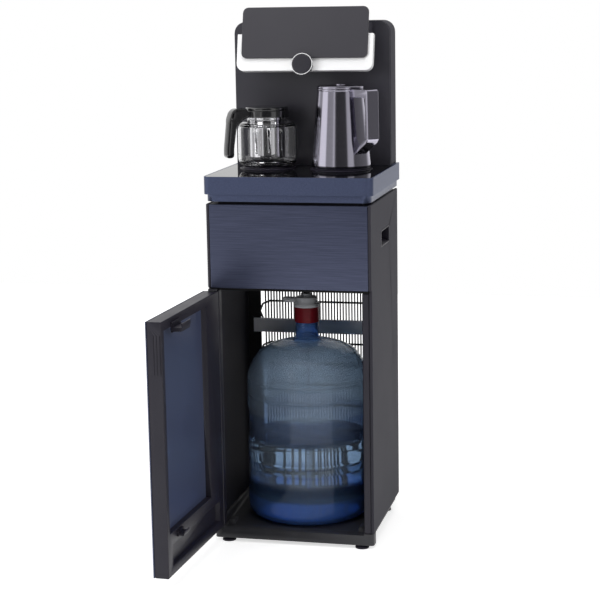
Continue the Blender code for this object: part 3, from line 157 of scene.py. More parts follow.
def finish(name, **sockets):
    """A new material with its shader's sockets set, returned with its node tree and its shader."""
    made = bpy.data.materials.new(name)
    made.use_nodes = True
    shader = made.node_tree.nodes["Principled BSDF"]
    for socket, value in sockets.items():
        shader.inputs[socket.replace("_", " ")].default_value = value
    return made, made.node_tree, shader


# The floor is white paper that glows where it is seen as the background, less near the object, so that the
# object's shadow shows
floor_half = 3.0
shadow_reach = 1.0
white_from = 2.4
form = bmesh.new()
bmesh.ops.create_grid(form, x_segments=1, y_segments=1, size=floor_half)
mesh = bpy.data.meshes.new("floor")
form.to_mesh(mesh)
form.free()
floor = bpy.data.objects.new("floor", mesh)
bpy.context.scene.collection.objects.link(floor)
paper, tree, shader = finish("floor_paper", Base_Color=colour("#e6e6e6"), Roughness=0.9)
rays = add(tree, "ShaderNodeLightPath")
through = add(
    tree, "ShaderNodeMath", None,
    {0: rays.outputs["Is Camera Ray"], 1: rays.outputs["Is Transmission Ray"]}, operation="MAXIMUM",
)
seen = add(
    tree, "ShaderNodeMath", None,
    {0: through.outputs[0], 1: rays.outputs["Is Glossy Ray"]}, operation="MAXIMUM",
)
place = add(tree, "ShaderNodeTexCoord")
away = add(tree, "ShaderNodeVectorMath", None, {0: place.outputs["Object"]}, operation="LENGTH")
lift = add(
    tree, "ShaderNodeMapRange",
    {"From Min": shadow_reach, "From Max": white_from, "To Min": 0.62, "To Max": 1.0},
    {0: away.outputs["Value"]},
)
glow = add(tree, "ShaderNodeMath", None, {0: seen.outputs[0], 1: lift.outputs[0]}, operation="MULTIPLY")
shader.inputs["Emission Color"].default_value = (1, 1, 1, 1)
tree.links.new(glow.outputs[0], shader.inputs["Emission Strength"])
mesh.materials.append(paper)

# Base pan and feet
# The pan, its raised lips and the plinth bar are one pressing of mild steel with a black dip coat, which is a
# little shiny and very slightly uneven. The levelling feet are moulded pads on short stems.
# Points nearer than MERGED become one. SEAT is the thin gap between a ring, the film, the kettle or the pot
# and what it sits on.
MERGED = 0.00002
SEAT = 0.0003


def piece(form, name, body, coat, slot_name, *stands_for, crease=35):
    """Make a scene piece of a finished form, on its body, in the place of the solids that it stands for."""
    mesh = bpy.data.meshes.new(name)
    form.to_mesh(mesh)
    form.free()
    mesh.shade_smooth()
    mesh.set_sharp_from_angle(angle=math.radians(crease))
    mesh.materials.clear()
    mesh.materials.append(coat)
    made = bpy.data.objects.new(name, mesh)
    bpy.context.scene.collection.objects.link(made)
    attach(made, body)
    if stands_for:
        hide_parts(*stands_for)
    return made


def fair_copy(node, body, coat, slot_name):
    """Stand a copy for a solid, with its corners merged, so that its rounded edges shade as they should."""
    form = bmesh.new()
    form.from_mesh(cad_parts[node].data)
    bmesh.ops.remove_doubles(form, verts=form.verts, dist=MERGED)
    made = piece(form, node + "_faired", body, coat, slot_name, node)
    made.modifiers.new("flat_faces", "WEIGHTED_NORMAL").keep_sharp = True
    return made


def eased(points, radius, count=4):
    """Round the inner corners of a profile, each by no more than half of its shorter side."""
    corners = [Vector(point) for point in points]
    made = [corners[0]]
    for before, corner, after in zip(corners, corners[1:], corners[2:]):
        back = before - corner
        on = after - corner
        reach = min(radius, back.length / 2, on.length / 2)
        start = corner + back.normalized() * reach
        end = corner + on.normalized() * reach
        for step in range(count + 1):
            share = step / count
            near = start.lerp(corner, share)
            made.append(near.lerp(corner.lerp(end, share), share))
    made.append(corners[-1])
    return made


def spun(profile, centre, steps=64, closed=False):
    """Spin a profile of (radius, height) points about an upright line, with its faces turned outwards."""
    form = bmesh.new()
    ring = [form.verts.new((radius, 0, height)) for radius, height in profile]
    sides = [form.edges.new(pair) for pair in zip(ring, ring[1:])]
    if closed:
        sides.append(form.edges.new((ring[-1], ring[0])))
    bmesh.ops.spin(
        form, geom=ring + sides, cent=(0, 0, 0), axis=(0, 0, 1), angle=math.tau, steps=steps, use_merge=True
    )
    bmesh.ops.remove_doubles(form, verts=form.verts, dist=MERGED)
    bmesh.ops.recalc_face_normals(form, faces=form.faces)
    bmesh.ops.translate(form, verts=form.verts, vec=centre)
    return form


# Dip coat: the film pools a little, so the tone and the gloss drift over some 30 mm, and it shows fine grain
dip_coat, tree, shader = finish("dip_coated_steel", Specular_IOR_Level=0.5)
place = add(tree, "ShaderNodeTexCoord")
drift = add(tree, "ShaderNodeTexNoise", {"Scale": 32.0, "Detail": 4.0}, {0: place.outputs["Object"]})
tone = add(
    tree, "ShaderNodeMix", {6: colour("#232326"), 7: colour("#333338")}, {0: drift.outputs[0]},
    data_type="RGBA",
)
gloss = add(tree, "ShaderNodeMapRange", {"To Min": 0.36, "To Max": 0.56}, {0: drift.outputs[0]})
grain = add(tree, "ShaderNodeTexNoise", {"Scale": 420.0, "Detail": 2.0}, {0: place.outputs["Object"]})
relief = add(tree, "ShaderNodeBump", {"Strength": 0.12, "Distance": 0.0003}, {"Height": grain.outputs[0]})
tree.links.new(tone.outputs[2], shader.inputs["Base Color"])
tree.links.new(gloss.outputs[0], shader.inputs["Roughness"])
tree.links.new(relief.outputs[0], shader.inputs["Normal"])

# Moulded ABS: a spark-eroded mould leaves a fine leather-like grain, and the high spots are rubbed smoother
moulded_black, tree, shader = finish("moulded_abs_black", Specular_IOR_Level=0.35)
place = add(tree, "ShaderNodeTexCoord")
skin = add(tree, "ShaderNodeTexNoise", {"Scale": 520.0, "Detail": 3.0}, {0: place.outputs["Object"]})
rubbed = add(tree, "ShaderNodeTexNoise", {"Scale": 14.0, "Detail": 3.0}, {0: place.outputs["Object"]})
tone = add(
    tree, "ShaderNodeMix", {6: colour("#1e1c25"), 7: colour("#282631")}, {0: skin.outputs[0]},
    data_type="RGBA",
)
gloss = add(tree, "ShaderNodeMapRange", {"To Min": 0.34, "To Max": 0.52}, {0: rubbed.outputs[0]})
relief = add(tree, "ShaderNodeBump", {"Strength": 0.15, "Distance": 0.0003}, {"Height": skin.outputs[0]})
tree.links.new(tone.outputs[2], shader.inputs["Base Color"])
tree.links.new(gloss.outputs[0], shader.inputs["Roughness"])
tree.links.new(relief.outputs[0], shader.inputs["Normal"])

fair_copy("base_pan", "root", dip_coat, "black_steel")
foot_radius = 0.015
foot_stem = 0.006
foot_pad = 0.0055
foot_top_share = 0.55
for corner in ("front_left", "front_right", "rear_left", "rear_right"):
    low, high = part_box("foot_" + corner)
    centre = (low + high) / 2
    profile = eased((
        (0, high.z), (foot_stem, high.z), (foot_stem, foot_pad + 0.001),
        (foot_radius * foot_top_share, foot_pad), (foot_radius, foot_pad - 0.002), (foot_radius, 0), (0, 0),
    ), 0.0012)
    form = spun(profile, (centre.x, centre.y, 0), 40)
    piece(form, "levelling_" + corner, "root", moulded_black, "black_plastic", "foot_" + corner)


# Side panels and grips
# The sides are folded steel sheet with a graphite powder coat, baked to an even, slightly pebbled skin. The
# finger cups are moulded black ABS, clipped in from outside.
def recoat(coat, *nodes):
    """Give solids whose shape is right a better material."""
    for node in nodes:
        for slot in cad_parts[node].material_slots:
            slot.material = coat


powder_coat, tree, shader = finish("powder_coat_graphite", Specular_IOR_Level=0.15)
place = add(tree, "ShaderNodeTexCoord")
pebbles = add(tree, "ShaderNodeTexNoise", {"Scale": 450.0, "Detail": 3.0}, {0: place.outputs["Object"]})
cloud = add(tree, "ShaderNodeTexNoise", {"Scale": 7.0, "Detail": 2.0}, {0: place.outputs["Object"]})
both = add(
    tree, "ShaderNodeMix", {0: 0.35}, {2: cloud.outputs[0], 3: pebbles.outputs[0]}, data_type="FLOAT"
)
tone = add(
    tree, "ShaderNodeMix", {6: colour("#34333a"), 7: colour("#3d3c43")}, {0: both.outputs[0]},
    data_type="RGBA",
)
gloss = add(tree, "ShaderNodeMapRange", {"To Min": 0.62, "To Max": 0.76}, {0: cloud.outputs[0]})
relief = add(tree, "ShaderNodeBump", {"Strength": 0.2, "Distance": 0.0004}, {"Height": pebbles.outputs[0]})
tree.links.new(tone.outputs[2], shader.inputs["Base Color"])
tree.links.new(gloss.outputs[0], shader.inputs["Roughness"])
tree.links.new(relief.outputs[0], shader.inputs["Normal"])
recoat(powder_coat, "side_left", "side_right")
recoat(moulded_black, "grip_left", "grip_right")

# Posts, shelf and rear sheets
# Moulded posts stand at the bay's front corners, under a pressed shelf. Two coated sheets close the back,
# and a zinc-plated bar crosses the window of the lower one.
for side in ("left", "right"):
    fair_copy("post_" + side, "root", moulded_black, "black_plastic")
# Shelf and rear sheets: black electrocoat, coloured far darker than real, as painted shade of the bay
electrocoat_and_bay_shade, tree, shader = finish("electrocoated_steel_and_painted_shade", Specular_IOR_Level=0.2)
place = add(tree, "ShaderNodeTexCoord")
drift = add(tree, "ShaderNodeTexNoise", {"Scale": 26.0, "Detail": 3.0}, {0: place.outputs["Object"]})
tone = add(
    tree, "ShaderNodeMix", {6: colour("#08080a"), 7: colour("#111113")}, {0: drift.outputs[0]},
    data_type="RGBA",
)
gloss = add(tree, "ShaderNodeMapRange", {"To Min": 0.45, "To Max": 0.6}, {0: drift.outputs[0]})
tree.links.new(tone.outputs[2], shader.inputs["Base Color"])
tree.links.new(gloss.outputs[0], shader.inputs["Roughness"])
recoat(electrocoat_and_bay_shade, "shelf", "back_lower", "back_upper")
recoat(dip_coat, "hinge_bracket_top", "hinge_bracket_bottom")
recoat(moulded_black, "housing_top", "cord_gland")
bar_zinc, tree, shader = finish("zinc_plated_steel", Metallic=0.65)
place = add(tree, "ShaderNodeTexCoord")
drift = add(tree, "ShaderNodeTexNoise", {"Scale": 20.0, "Detail": 3.0}, {0: place.outputs["Object"]})
tone = add(
    tree, "ShaderNodeMix", {6: colour("#c0c2c9"), 7: colour("#ccced4")}, {0: drift.outputs[0]},
    data_type="RGBA",
)
gloss = add(tree, "ShaderNodeMapRange", {"To Min": 0.30, "To Max": 0.42}, {0: drift.outputs[0]})
tree.links.new(tone.outputs[2], shader.inputs["Base Color"])
tree.links.new(gloss.outputs[0], shader.inputs["Roughness"])
fair_copy("crossbar", "root", bar_zinc, "graphite_shell")

# Condenser
# Upright steel wires are spot-welded to both sides of a serpentine steel pipe, and the whole is dipped black.
# The wires are 2 mm thick with their coat, and about 7 mm apart.
wire_width = 0.002
wire_count = 40
wire_sides = 8
for layer in ("front", "rear"):
    low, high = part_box("condenser_wires_" + layer)
    middle = (low.y + high.y) / 2
    form = bmesh.new()
    bmesh.ops.create_cone(
        form, cap_ends=True, segments=wire_sides, radius1=wire_width / 2, radius2=wire_width / 2,
        depth=high.z - low.z,
    )
    bmesh.ops.translate(form, verts=form.verts, vec=(low.x + wire_width / 2, middle, (low.z + high.z) / 2))
    one = form.verts[:] + form.edges[:] + form.faces[:]
    pitch = (high.x - low.x - wire_width) / (wire_count - 1)
    for number in range(1, wire_count):
        made = bmesh.ops.duplicate(form, geom=one)
        moved = [part for part in made["geom"] if isinstance(part, bmesh.types.BMVert)]
        bmesh.ops.translate(form, verts=moved, vec=(pitch * number, 0, 0))
    for height in (low.z + wire_width / 2, high.z - wire_width / 2):
        made = bmesh.ops.create_cone(
            form, cap_ends=True, segments=wire_sides, radius1=wire_width / 2, radius2=wire_width / 2,
            depth=high.x - low.x, matrix=Matrix.Rotation(math.pi / 2, 4, "Y"),
        )
        spot = ((low.x + high.x) / 2, middle, height)
        bmesh.ops.translate(form, verts=made["verts"], vec=spot)
    piece(form, "wire_grid_" + layer, "root", dip_coat, "black_steel", "condenser_wires_" + layer)
fair_copy("condenser_pipe", "root", dip_coat, "black_steel")

# Compressor, cold tank, pump and hose
# They stand on the shelf behind the front panel: a drawn steel can, a tank of white polyethylene and a
# moulded pump. A short hose of smooth black EPDM rubber comes down from the shelf to the bottle's cap.
tank_white, tree, shader = finish("moulded_polyethylene_white", Roughness=0.42)
place = add(tree, "ShaderNodeTexCoord")
drift = add(tree, "ShaderNodeTexNoise", {"Scale": 24.0, "Detail": 3.0}, {0: place.outputs["Object"]})
tone = add(
    tree, "ShaderNodeMix", {6: colour("#cfd3d6"), 7: colour("#dee2e4")}, {0: drift.outputs[0]},
    data_type="RGBA",
)
tree.links.new(tone.outputs[2], shader.inputs["Base Color"])
rubber, tree, shader = finish("epdm_hose_rubber", Roughness=0.55)
place = add(tree, "ShaderNodeTexCoord")
bloom = add(tree, "ShaderNodeTexNoise", {"Scale": 90.0, "Detail": 3.0}, {0: place.outputs["Object"]})
tone = add(
    tree, "ShaderNodeMix", {6: colour("#151517"), 7: colour("#232326")}, {0: bloom.outputs[0]},
    data_type="RGBA",
)
tree.links.new(tone.outputs[2], shader.inputs["Base Color"])
for node, coat, slot_name in (
    ("compressor", dip_coat, "black_steel"), ("cold_tank", tank_white, "tube_white"),
    ("pump", moulded_black, "black_plastic"), ("suction_hose", rubber, "hose_rubber"),
):
    fair_copy(node, "root", coat, slot_name)

# Front panel
# A clear-coated sheet of blue-stained steel, brushed from side to side. The brushing shows as fine level
# lines, some 70 mm long, that change both tone and gloss.
brushed_blue, tree, shader = finish("brushed_blue_steel", Metallic=0.85, Coat_Weight=0.2, Coat_Roughness=0.2)
place = add(tree, "ShaderNodeTexCoord")
stretched = add(tree, "ShaderNodeMapping", {"Scale": (14.0, 14.0, 640.0)}, {0: place.outputs["Object"]})
lines = add(
    tree, "ShaderNodeTexNoise", {"Scale": 1.0, "Detail": 4.0, "Roughness": 0.6}, {0: stretched.outputs[0]}
)
tone = add(
    tree, "ShaderNodeMix", {6: colour("#33374a"), 7: colour("#5b617b")}, {0: lines.outputs[0]},
    data_type="RGBA",
)
gloss = add(tree, "ShaderNodeMapRange", {"To Min": 0.24, "To Max": 0.40}, {0: lines.outputs[0]})
relief = add(tree, "ShaderNodeBump", {"Strength": 0.12, "Distance": 0.0002}, {"Height": lines.outputs[0]})
tree.links.new(tone.outputs[2], shader.inputs["Base Color"])
tree.links.new(gloss.outputs[0], shader.inputs["Roughness"])
tree.links.new(relief.outputs[0], shader.inputs["Normal"])
fair_copy("front_panel", "root", brushed_blue, "brushed_blue")

# Tray and glass top
# The tray is moulded ABS with a metallic blue lacquer, whose aluminium flakes glint a little. The counter
# is a sheet of toughened glass, printed black underneath, so it mirrors what stands on it.
blue_lacquer, tree, shader = finish("metallic_lacquer_blue", Metallic=0.38, Specular_IOR_Level=0.12)
place = add(tree, "ShaderNodeTexCoord")
flakes = add(tree, "ShaderNodeTexVoronoi", {"Scale": 900.0}, {0: place.outputs["Object"]})
tone = add(
    tree, "ShaderNodeMix", {6: colour("#434a61"), 7: colour("#4f5773")}, {0: flakes.outputs["Color"]},
    data_type="RGBA",
)
gloss = add(tree, "ShaderNodeMapRange", {"To Min": 0.32, "To Max": 0.44}, {0: flakes.outputs["Distance"]})
tree.links.new(tone.outputs[2], shader.inputs["Base Color"])
tree.links.new(gloss.outputs[0], shader.inputs["Roughness"])
counter_glass, tree, shader = finish("toughened_glass_black", IOR=1.25)
place = add(tree, "ShaderNodeTexCoord")
smears = add(tree, "ShaderNodeTexNoise", {"Scale": 18.0, "Detail": 4.0}, {0: place.outputs["Object"]})
tone = add(
    tree, "ShaderNodeMix", {6: colour("#0c0c0f"), 7: colour("#121216")}, {0: smears.outputs[0]},
    data_type="RGBA",
)
gloss = add(tree, "ShaderNodeMapRange", {"To Min": 0.015, "To Max": 0.06}, {0: smears.outputs[0]})
tree.links.new(tone.outputs[2], shader.inputs["Base Color"])
tree.links.new(gloss.outputs[0], shader.inputs["Roughness"])
fair_copy("tray", "root", blue_lacquer, "tray_blue")
fair_copy("glass_top", "root", counter_glass, "dark_glass")

# Power base and warming plate
# Two moulded discs stand on the glass: a low base for the kettle, and a plate with a raised middle for the
# teapot.
low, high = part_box("power_base")
kettle_axis = (low + high) / 2
height = high.z - low.z
radius = 0.067
slope_width = 0.003
slope_drop = 0.001
profile = eased((
    (0, height), (radius - slope_width, height), (radius, height - slope_drop), (radius, 0), (0, 0),
), 0.001)
form = spun(profile, (kettle_axis.x, kettle_axis.y, low.z), 80)
piece(form, "kettle_base", "root", moulded_black, "black_plastic", "power_base")
low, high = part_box("warming_plate")
teapot_axis = (low + high) / 2
height = high.z - low.z
radius = 0.061
hot_radius = 0.054
hot_rise = 0.003
slope_width = 0.002
slope_drop = 0.0015
profile = eased((
    (0, height), (hot_radius, height), (hot_radius - 0.0001, height - hot_rise),
    (radius - slope_width, height - hot_rise), (radius, height - hot_rise - slope_drop), (radius, 0), (0, 0),
), 0.0012)
form = spun(profile, (teapot_axis.x, teapot_axis.y, low.z), 80)
piece(form, "warmer_disc", "root", moulded_black, "black_plastic", "warming_plate")

# Backsplash
# A graphite steel column with rounded shoulders, closed in front by a flat panel in a smoother coat, set in
# by a hair's breadth so that a fine line runs round it.
panel_coat, tree, shader = finish("satin_panel_graphite", Specular_IOR_Level=0.6)
place = add(tree, "ShaderNodeTexCoord")
cloud = add(tree, "ShaderNodeTexNoise", {"Scale": 9.0, "Detail": 2.0}, {0: place.outputs["Object"]})
grain = add(tree, "ShaderNodeTexNoise", {"Scale": 500.0, "Detail": 2.0}, {0: place.outputs["Object"]})
tone = add(
    tree, "ShaderNodeMix", {6: colour("#333239"), 7: colour("#393840")}, {0: cloud.outputs[0]},
    data_type="RGBA",
)
gloss = add(tree, "ShaderNodeMapRange", {"To Min": 0.30, "To Max": 0.40}, {0: cloud.outputs[0]})
relief = add(tree, "ShaderNodeBump", {"Strength": 0.06, "Distance": 0.0002}, {"Height": grain.outputs[0]})
tree.links.new(tone.outputs[2], shader.inputs["Base Color"])
tree.links.new(gloss.outputs[0], shader.inputs["Roughness"])
tree.links.new(relief.outputs[0], shader.inputs["Normal"])
fair_copy("backsplash_shell", "root", powder_coat, "graphite_shell")
recoat(panel_coat, "backsplash_panel")

# Head
# A white gloss ABS band wraps the sides and the foot of a leaning satin acrylic plate. Behind them a graphite
# housing meets the backsplash, and two short spouts look down over the kettle and the teapot.
band_white, tree, shader = finish("gloss_abs_white", Coat_Weight=0.3, Coat_Roughness=0.08)
place = add(tree, "ShaderNodeTexCoord")
flow = add(tree, "ShaderNodeTexNoise", {"Scale": 12.0, "Detail": 2.0}, {0: place.outputs["Object"]})
tone = add(
    tree, "ShaderNodeMix", {6: colour("#fbfbfd"), 7: colour("#ffffff")}, {0: flow.outputs[0]},
    data_type="RGBA",
)
gloss = add(tree, "ShaderNodeMapRange", {"To Min": 0.16, "To Max": 0.26}, {0: flow.outputs[0]})
tree.links.new(tone.outputs[2], shader.inputs["Base Color"])
tree.links.new(gloss.outputs[0], shader.inputs["Roughness"])
plate_acrylic, tree, shader = finish("satin_acrylic_charcoal", IOR=1.49, Coat_Weight=0.15, Coat_Roughness=0.3)
place = add(tree, "ShaderNodeTexCoord")
flow = add(tree, "ShaderNodeTexNoise", {"Scale": 6.0, "Detail": 2.0}, {0: place.outputs["Object"]})
grain = add(tree, "ShaderNodeTexNoise", {"Scale": 600.0, "Detail": 2.0}, {0: place.outputs["Object"]})
tone = add(
    tree, "ShaderNodeMix", {6: colour("#3a393f"), 7: colour("#434247")}, {0: flow.outputs[0]},
    data_type="RGBA",
)
gloss = add(tree, "ShaderNodeMapRange", {"To Min": 0.32, "To Max": 0.42}, {0: grain.outputs[0]})
tree.links.new(tone.outputs[2], shader.inputs["Base Color"])
tree.links.new(gloss.outputs[0], shader.inputs["Roughness"])
fair_copy("head_band", "root", band_white, "white_gloss")
fair_copy("control_plate", "root", plate_acrylic, "control_gloss")
recoat(powder_coat, "head_housing")
spout_radius = 0.008
spout_bore = 0.004
seam_below = 0.001
for side in ("left", "right"):
    low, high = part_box("spout_" + side)
    centre = (low + high) / 2
    profile = [(spout_bore, high.z), (spout_radius, high.z)]
    profile += eased((
        (spout_radius, high.z - seam_below), (spout_radius, low.z), (spout_bore, low.z),
        (spout_bore, high.z - seam_below),
    ), 0.0014)
    form = spun(profile, (centre.x, centre.y, 0), 40, closed=True)
    piece(form, "nozzle_" + side, "root", moulded_black, "black_plastic", "spout_" + side)

# Knob
# A satin charcoal cap with a fine satin chrome ring round it, turning on a stem through the white band.
face_lean = math.radians(14)
low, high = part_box("knob_ring")
ring_centre = (low + high) / 2
knob_radius = 0.0214
ring_width = 0.0014
out = Vector((0, -math.cos(face_lean), math.sin(face_lean)))
to_face = out.to_track_quat("Z", "Y").to_matrix().to_4x4()
knob_front = max(vertex.co.dot(out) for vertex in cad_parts["knob"].data.vertices)
knob_rear = min(vertex.co.dot(out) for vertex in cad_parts["knob"].data.vertices)
foot_point = ring_centre - out * ring_centre.dot(out)
depth = knob_front - knob_rear
cap_depth = 0.0156
cap_slope = 0.003
stem_radius = 0.006
profile = eased((
    (0, 0), (knob_radius - cap_slope, 0), (knob_radius, -cap_slope / 2), (knob_radius, -cap_depth),
    (stem_radius, -cap_depth), (stem_radius, -depth), (0, -depth),
), 0.0008)
form = spun(profile, (0, 0, knob_front), 80)
bmesh.ops.transform(form, verts=form.verts, matrix=Matrix.Translation(foot_point) @ to_face)
knob_plastic, tree, shader = finish("satin_abs_charcoal", Specular_IOR_Level=0.35)
place = add(tree, "ShaderNodeTexCoord")
grain = add(tree, "ShaderNodeTexNoise", {"Scale": 600.0, "Detail": 2.0}, {0: place.outputs["Object"]})
tone = add(
    tree, "ShaderNodeMix", {6: colour("#2b2a30"), 7: colour("#343339")}, {0: grain.outputs[0]},
    data_type="RGBA",
)
gloss = add(tree, "ShaderNodeMapRange", {"To Min": 0.34, "To Max": 0.46}, {0: grain.outputs[0]})
tree.links.new(tone.outputs[2], shader.inputs["Base Color"])
tree.links.new(gloss.outputs[0], shader.inputs["Roughness"])
piece(form, "knob_cap", "control_knob", knob_plastic, "control_gloss", "knob")
chrome, tree, shader = finish("satin_chrome_plate", Metallic=0.25, Base_Color=colour("#fbfbfd"))
place = add(tree, "ShaderNodeTexCoord")
haze = add(tree, "ShaderNodeTexNoise", {"Scale": 160.0, "Detail": 2.0}, {0: place.outputs["Object"]})
gloss = add(tree, "ShaderNodeMapRange", {"To Min": 0.18, "To Max": 0.30}, {0: haze.outputs[0]})
tree.links.new(gloss.outputs[0], shader.inputs["Roughness"])
ring_front = max(vertex.co.dot(out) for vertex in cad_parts["knob_ring"].data.vertices)
ring_inner = knob_radius + SEAT
ring_outer = ring_inner + ring_width
ring_depth = 0.0022
seam_below = 0.0002
profile = eased((
    (ring_inner, -seam_below), (ring_inner, 0), (ring_outer, 0), (ring_outer, -ring_depth),
    (ring_inner, -ring_depth), (ring_inner, -seam_below),
), 0.0005)
form = spun(profile[:-1], (0, 0, ring_front), 96, closed=True)
bmesh.ops.transform(form, verts=form.verts, matrix=Matrix.Translation(foot_point) @ to_face)
piece(form, "chrome_ring", "control_knob", chrome, "chrome_trim", "knob_ring")

# Door
# A moulded black frame with the brushed sheet on its front and a satin blue sheet set into its back. It turns
# on two steel pins, and a hooked latch and a catch stand on its inner face.
satin_blue, tree, shader = finish("satin_sheet_blue", Metallic=0.15)
place = add(tree, "ShaderNodeTexCoord")
cloud = add(tree, "ShaderNodeTexNoise", {"Scale": 5.0, "Detail": 2.0}, {0: place.outputs["Object"]})
tone = add(
    tree, "ShaderNodeMix", {6: colour("#434b65"), 7: colour("#4e5672")}, {0: cloud.outputs[0]},
    data_type="RGBA",
)
gloss = add(tree, "ShaderNodeMapRange", {"To Min": 0.24, "To Max": 0.34}, {0: cloud.outputs[0]})
tree.links.new(tone.outputs[2], shader.inputs["Base Color"])
tree.links.new(gloss.outputs[0], shader.inputs["Roughness"])
fair_copy("door_frame", "door", moulded_black, "black_plastic")
fair_copy("door_skin", "door", brushed_blue, "brushed_blue")
recoat(satin_blue, "door_inner_panel")
recoat(moulded_black, "door_latch", "door_catch")
recoat(dip_coat, "hinge_pin_top", "hinge_pin_bottom")

# Bottle
# A blow-moulded polycarbonate bottle, tinted blue, ringed and waisted for the hand. A red shrink sleeve
# covers its neck, a grey cap with a tab plugs its mouth, and a clear pipe goes down through the water to
# the bottom.
low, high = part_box("bottle")
bottle_foot = Vector(((low.x + high.x) / 2, (low.y + high.y) / 2, low.z))
bottle_radius = 0.135
bottle_wall = 0.0018
neck_radius = 0.0255
mouth = 0.463
flange_radius = 0.031
flange_top = 0.3945
shoulder = 0.388
straight = 0.308
profile = [(neck_radius, mouth), (neck_radius, 0.396), (flange_radius, flange_top), (flange_radius, shoulder)]
shoulder_shares = ((0.30, 0.965), (0.53, 0.87), (0.74, 0.71), (0.88, 0.44), (0.97, 0.16))
for out_share, up_share in shoulder_shares:
    profile.append((
        neck_radius + out_share * (bottle_radius - neck_radius), straight + up_share * (shoulder - straight),
    ))
waist_top = 0.247
waist_foot = 0.174
waist_slope = 0.009
waist_radius = 0.1315
waist = [
    (bottle_radius, waist_top), (waist_radius, waist_top - waist_slope),
    (waist_radius, waist_foot + waist_slope), (bottle_radius, waist_foot),
]
rings = [waist]
groove_half = 0.004
for at, groove in ((0.112, 0.0012), (0.130, 0.0012), (0.271, 0.003), (0.304, 0.003)):
    rings.append([
        (bottle_radius, at + groove_half), (bottle_radius - groove, at), (bottle_radius, at - groove_half),
    ])
for ring in sorted(rings, key=lambda points: -points[0][1]):
    profile += ring
heel_width = 0.023
heel_height = 0.026
heel_steps = 4
for step in range(heel_steps + 1):
    angle = math.radians(90 * step / heel_steps)
    profile.append((
        bottle_radius - heel_width + heel_width * math.cos(angle), heel_height * (1 - math.sin(angle)),
    ))
stand_radius = 0.085
punt_radius = 0.078
punt_height = 0.007
profile += [(stand_radius, 0), (punt_radius, punt_height), (0, punt_height)]
outside = eased(profile, 0.006, 3)
# Polycarbonate: the wall is a little milky. Where it is thick, at the foot and the neck, it keeps more of its
# blue, and a band at the waist is bluer and darker too. The grey-blue band just above the foot is painted
# shade, the shadow under the rings. It is misted above the water, clear below, scuffed at the foot
bottle_plastic, tree, shader = finish("tinted_polycarbonate", IOR=1.25, Specular_IOR_Level=0.25)
place = add(tree, "ShaderNodeTexCoord")
rise = add(tree, "ShaderNodeSeparateXYZ", None, {0: place.outputs["Object"]})
up = add(tree, "ShaderNodeMapRange", {"From Min": 0.03, "From Max": 0.53}, {0: rise.outputs["Z"]})
tint_and_ring_shade = add(tree, "ShaderNodeValToRGB", None, {0: up.outputs[0]})
# The stops from 0.114 to 0.162 are painted shade: the shadow under the rings, just above the foot
ramp_stops(tint_and_ring_shade, (
    (0.000, colour("#648ccb")), (0.102, colour("#648ccb")), (0.114, colour("#5c7aa0")),
    (0.162, colour("#5c7aa0")), (0.192, colour("#bccbd8")), (0.346, colour("#bccbd8")),
    (0.372, colour("#8a9dbb")), (0.455, colour("#8a9dbb")), (0.480, colour("#acbdce")),
    (0.765, colour("#acbdce")), (0.785, colour("#7397cc")), (1.000, colour("#7397cc")),
))
tree.links.new(tint_and_ring_shade.outputs[0], shader.inputs["Base Color"])
mist = add(tree, "ShaderNodeValToRGB", None, {0: up.outputs[0]})
ramp_stops(mist, (
    (0.000, 0.30), (0.112, 0.30), (0.140, 0.01), (0.370, 0.01), (0.420, 0.16), (0.560, 0.16), (0.640, 0.32),
    (1.000, 0.32),
))
scuffs = add(tree, "ShaderNodeTexNoise", {"Scale": 26.0, "Detail": 4.0}, {0: place.outputs["Object"]})
gloss = add(tree, "ShaderNodeMath", None, {0: mist.outputs[0], 1: scuffs.outputs[0]}, operation="MULTIPLY")
clear = add(
    tree, "ShaderNodeMapRange", {"From Min": 0.01, "From Max": 0.16, "To Min": 0.87, "To Max": 0.76},
    {0: mist.outputs[0]},
)
tree.links.new(gloss.outputs[0], shader.inputs["Roughness"])
tree.links.new(clear.outputs[0], shader.inputs["Transmission Weight"])
form = spun(outside, bottle_foot, 96)
made = piece(form, "bottle_blown", "water_bottle", bottle_plastic, "bottle_plastic", "bottle", crease=60)
thick = made.modifiers.new("wall", "SOLIDIFY")
thick.thickness = bottle_wall
thick.offset = -1

# The water fills the bottle to its level, a little clear of the wall and of the raised middle of the bottom
water_level = 0.176
water_gap = 0.0004
bottom = punt_height + bottle_wall
raised_to = 0.08
inside = []
for radius, height in outside:
    if height < water_level:
        within = radius - bottle_wall - water_gap
        if within < raised_to:
            inside.append((max(within, 0), max(height, bottom)))
        else:
            inside.append((within, height + bottle_wall))
inside = [(0, water_level), (inside[0][0], water_level)] + inside
inside[-1] = (0, bottom + water_gap)
water, tree, shader = finish(
    "drinking_water", Base_Color=colour("#dbe9fb"), Roughness=0.0, IOR=1.333, Transmission_Weight=1.0,
)
form = spun(inside, bottle_foot, 96)
piece(form, "water", "water_bottle", water, "bottle_plastic", crease=50)

film_red, tree, shader = finish("shrink_film_red", Roughness=0.3, Specular_IOR_Level=0.15)
place = add(tree, "ShaderNodeTexCoord")
creases = add(tree, "ShaderNodeTexNoise", {"Scale": 120.0, "Detail": 3.0}, {0: place.outputs["Object"]})
tone = add(
    tree, "ShaderNodeMix", {6: colour("#68151d"), 7: colour("#7e1f28")}, {0: creases.outputs[0]},
    data_type="RGBA",
)
relief = add(tree, "ShaderNodeBump", {"Strength": 0.3, "Distance": 0.0004}, {"Height": creases.outputs[0]})
tree.links.new(tone.outputs[2], shader.inputs["Base Color"])
tree.links.new(relief.outputs[0], shader.inputs["Normal"])
low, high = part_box("neck_sleeve")
inner = neck_radius + SEAT
film = 0.0014
film_bulge = 0.0016
film_edge = 0.0003
profile = [(inner, high.z), (inner + film, high.z - film_edge), (inner + film_bulge, (low.z + high.z) / 2)]
profile += [(inner + film, low.z + film_edge), (inner, low.z)]
form = spun(profile, (bottle_foot.x, bottle_foot.y, 0), 64, closed=True)
piece(form, "neck_film", "water_bottle", film_red, "red_sleeve", "neck_sleeve")

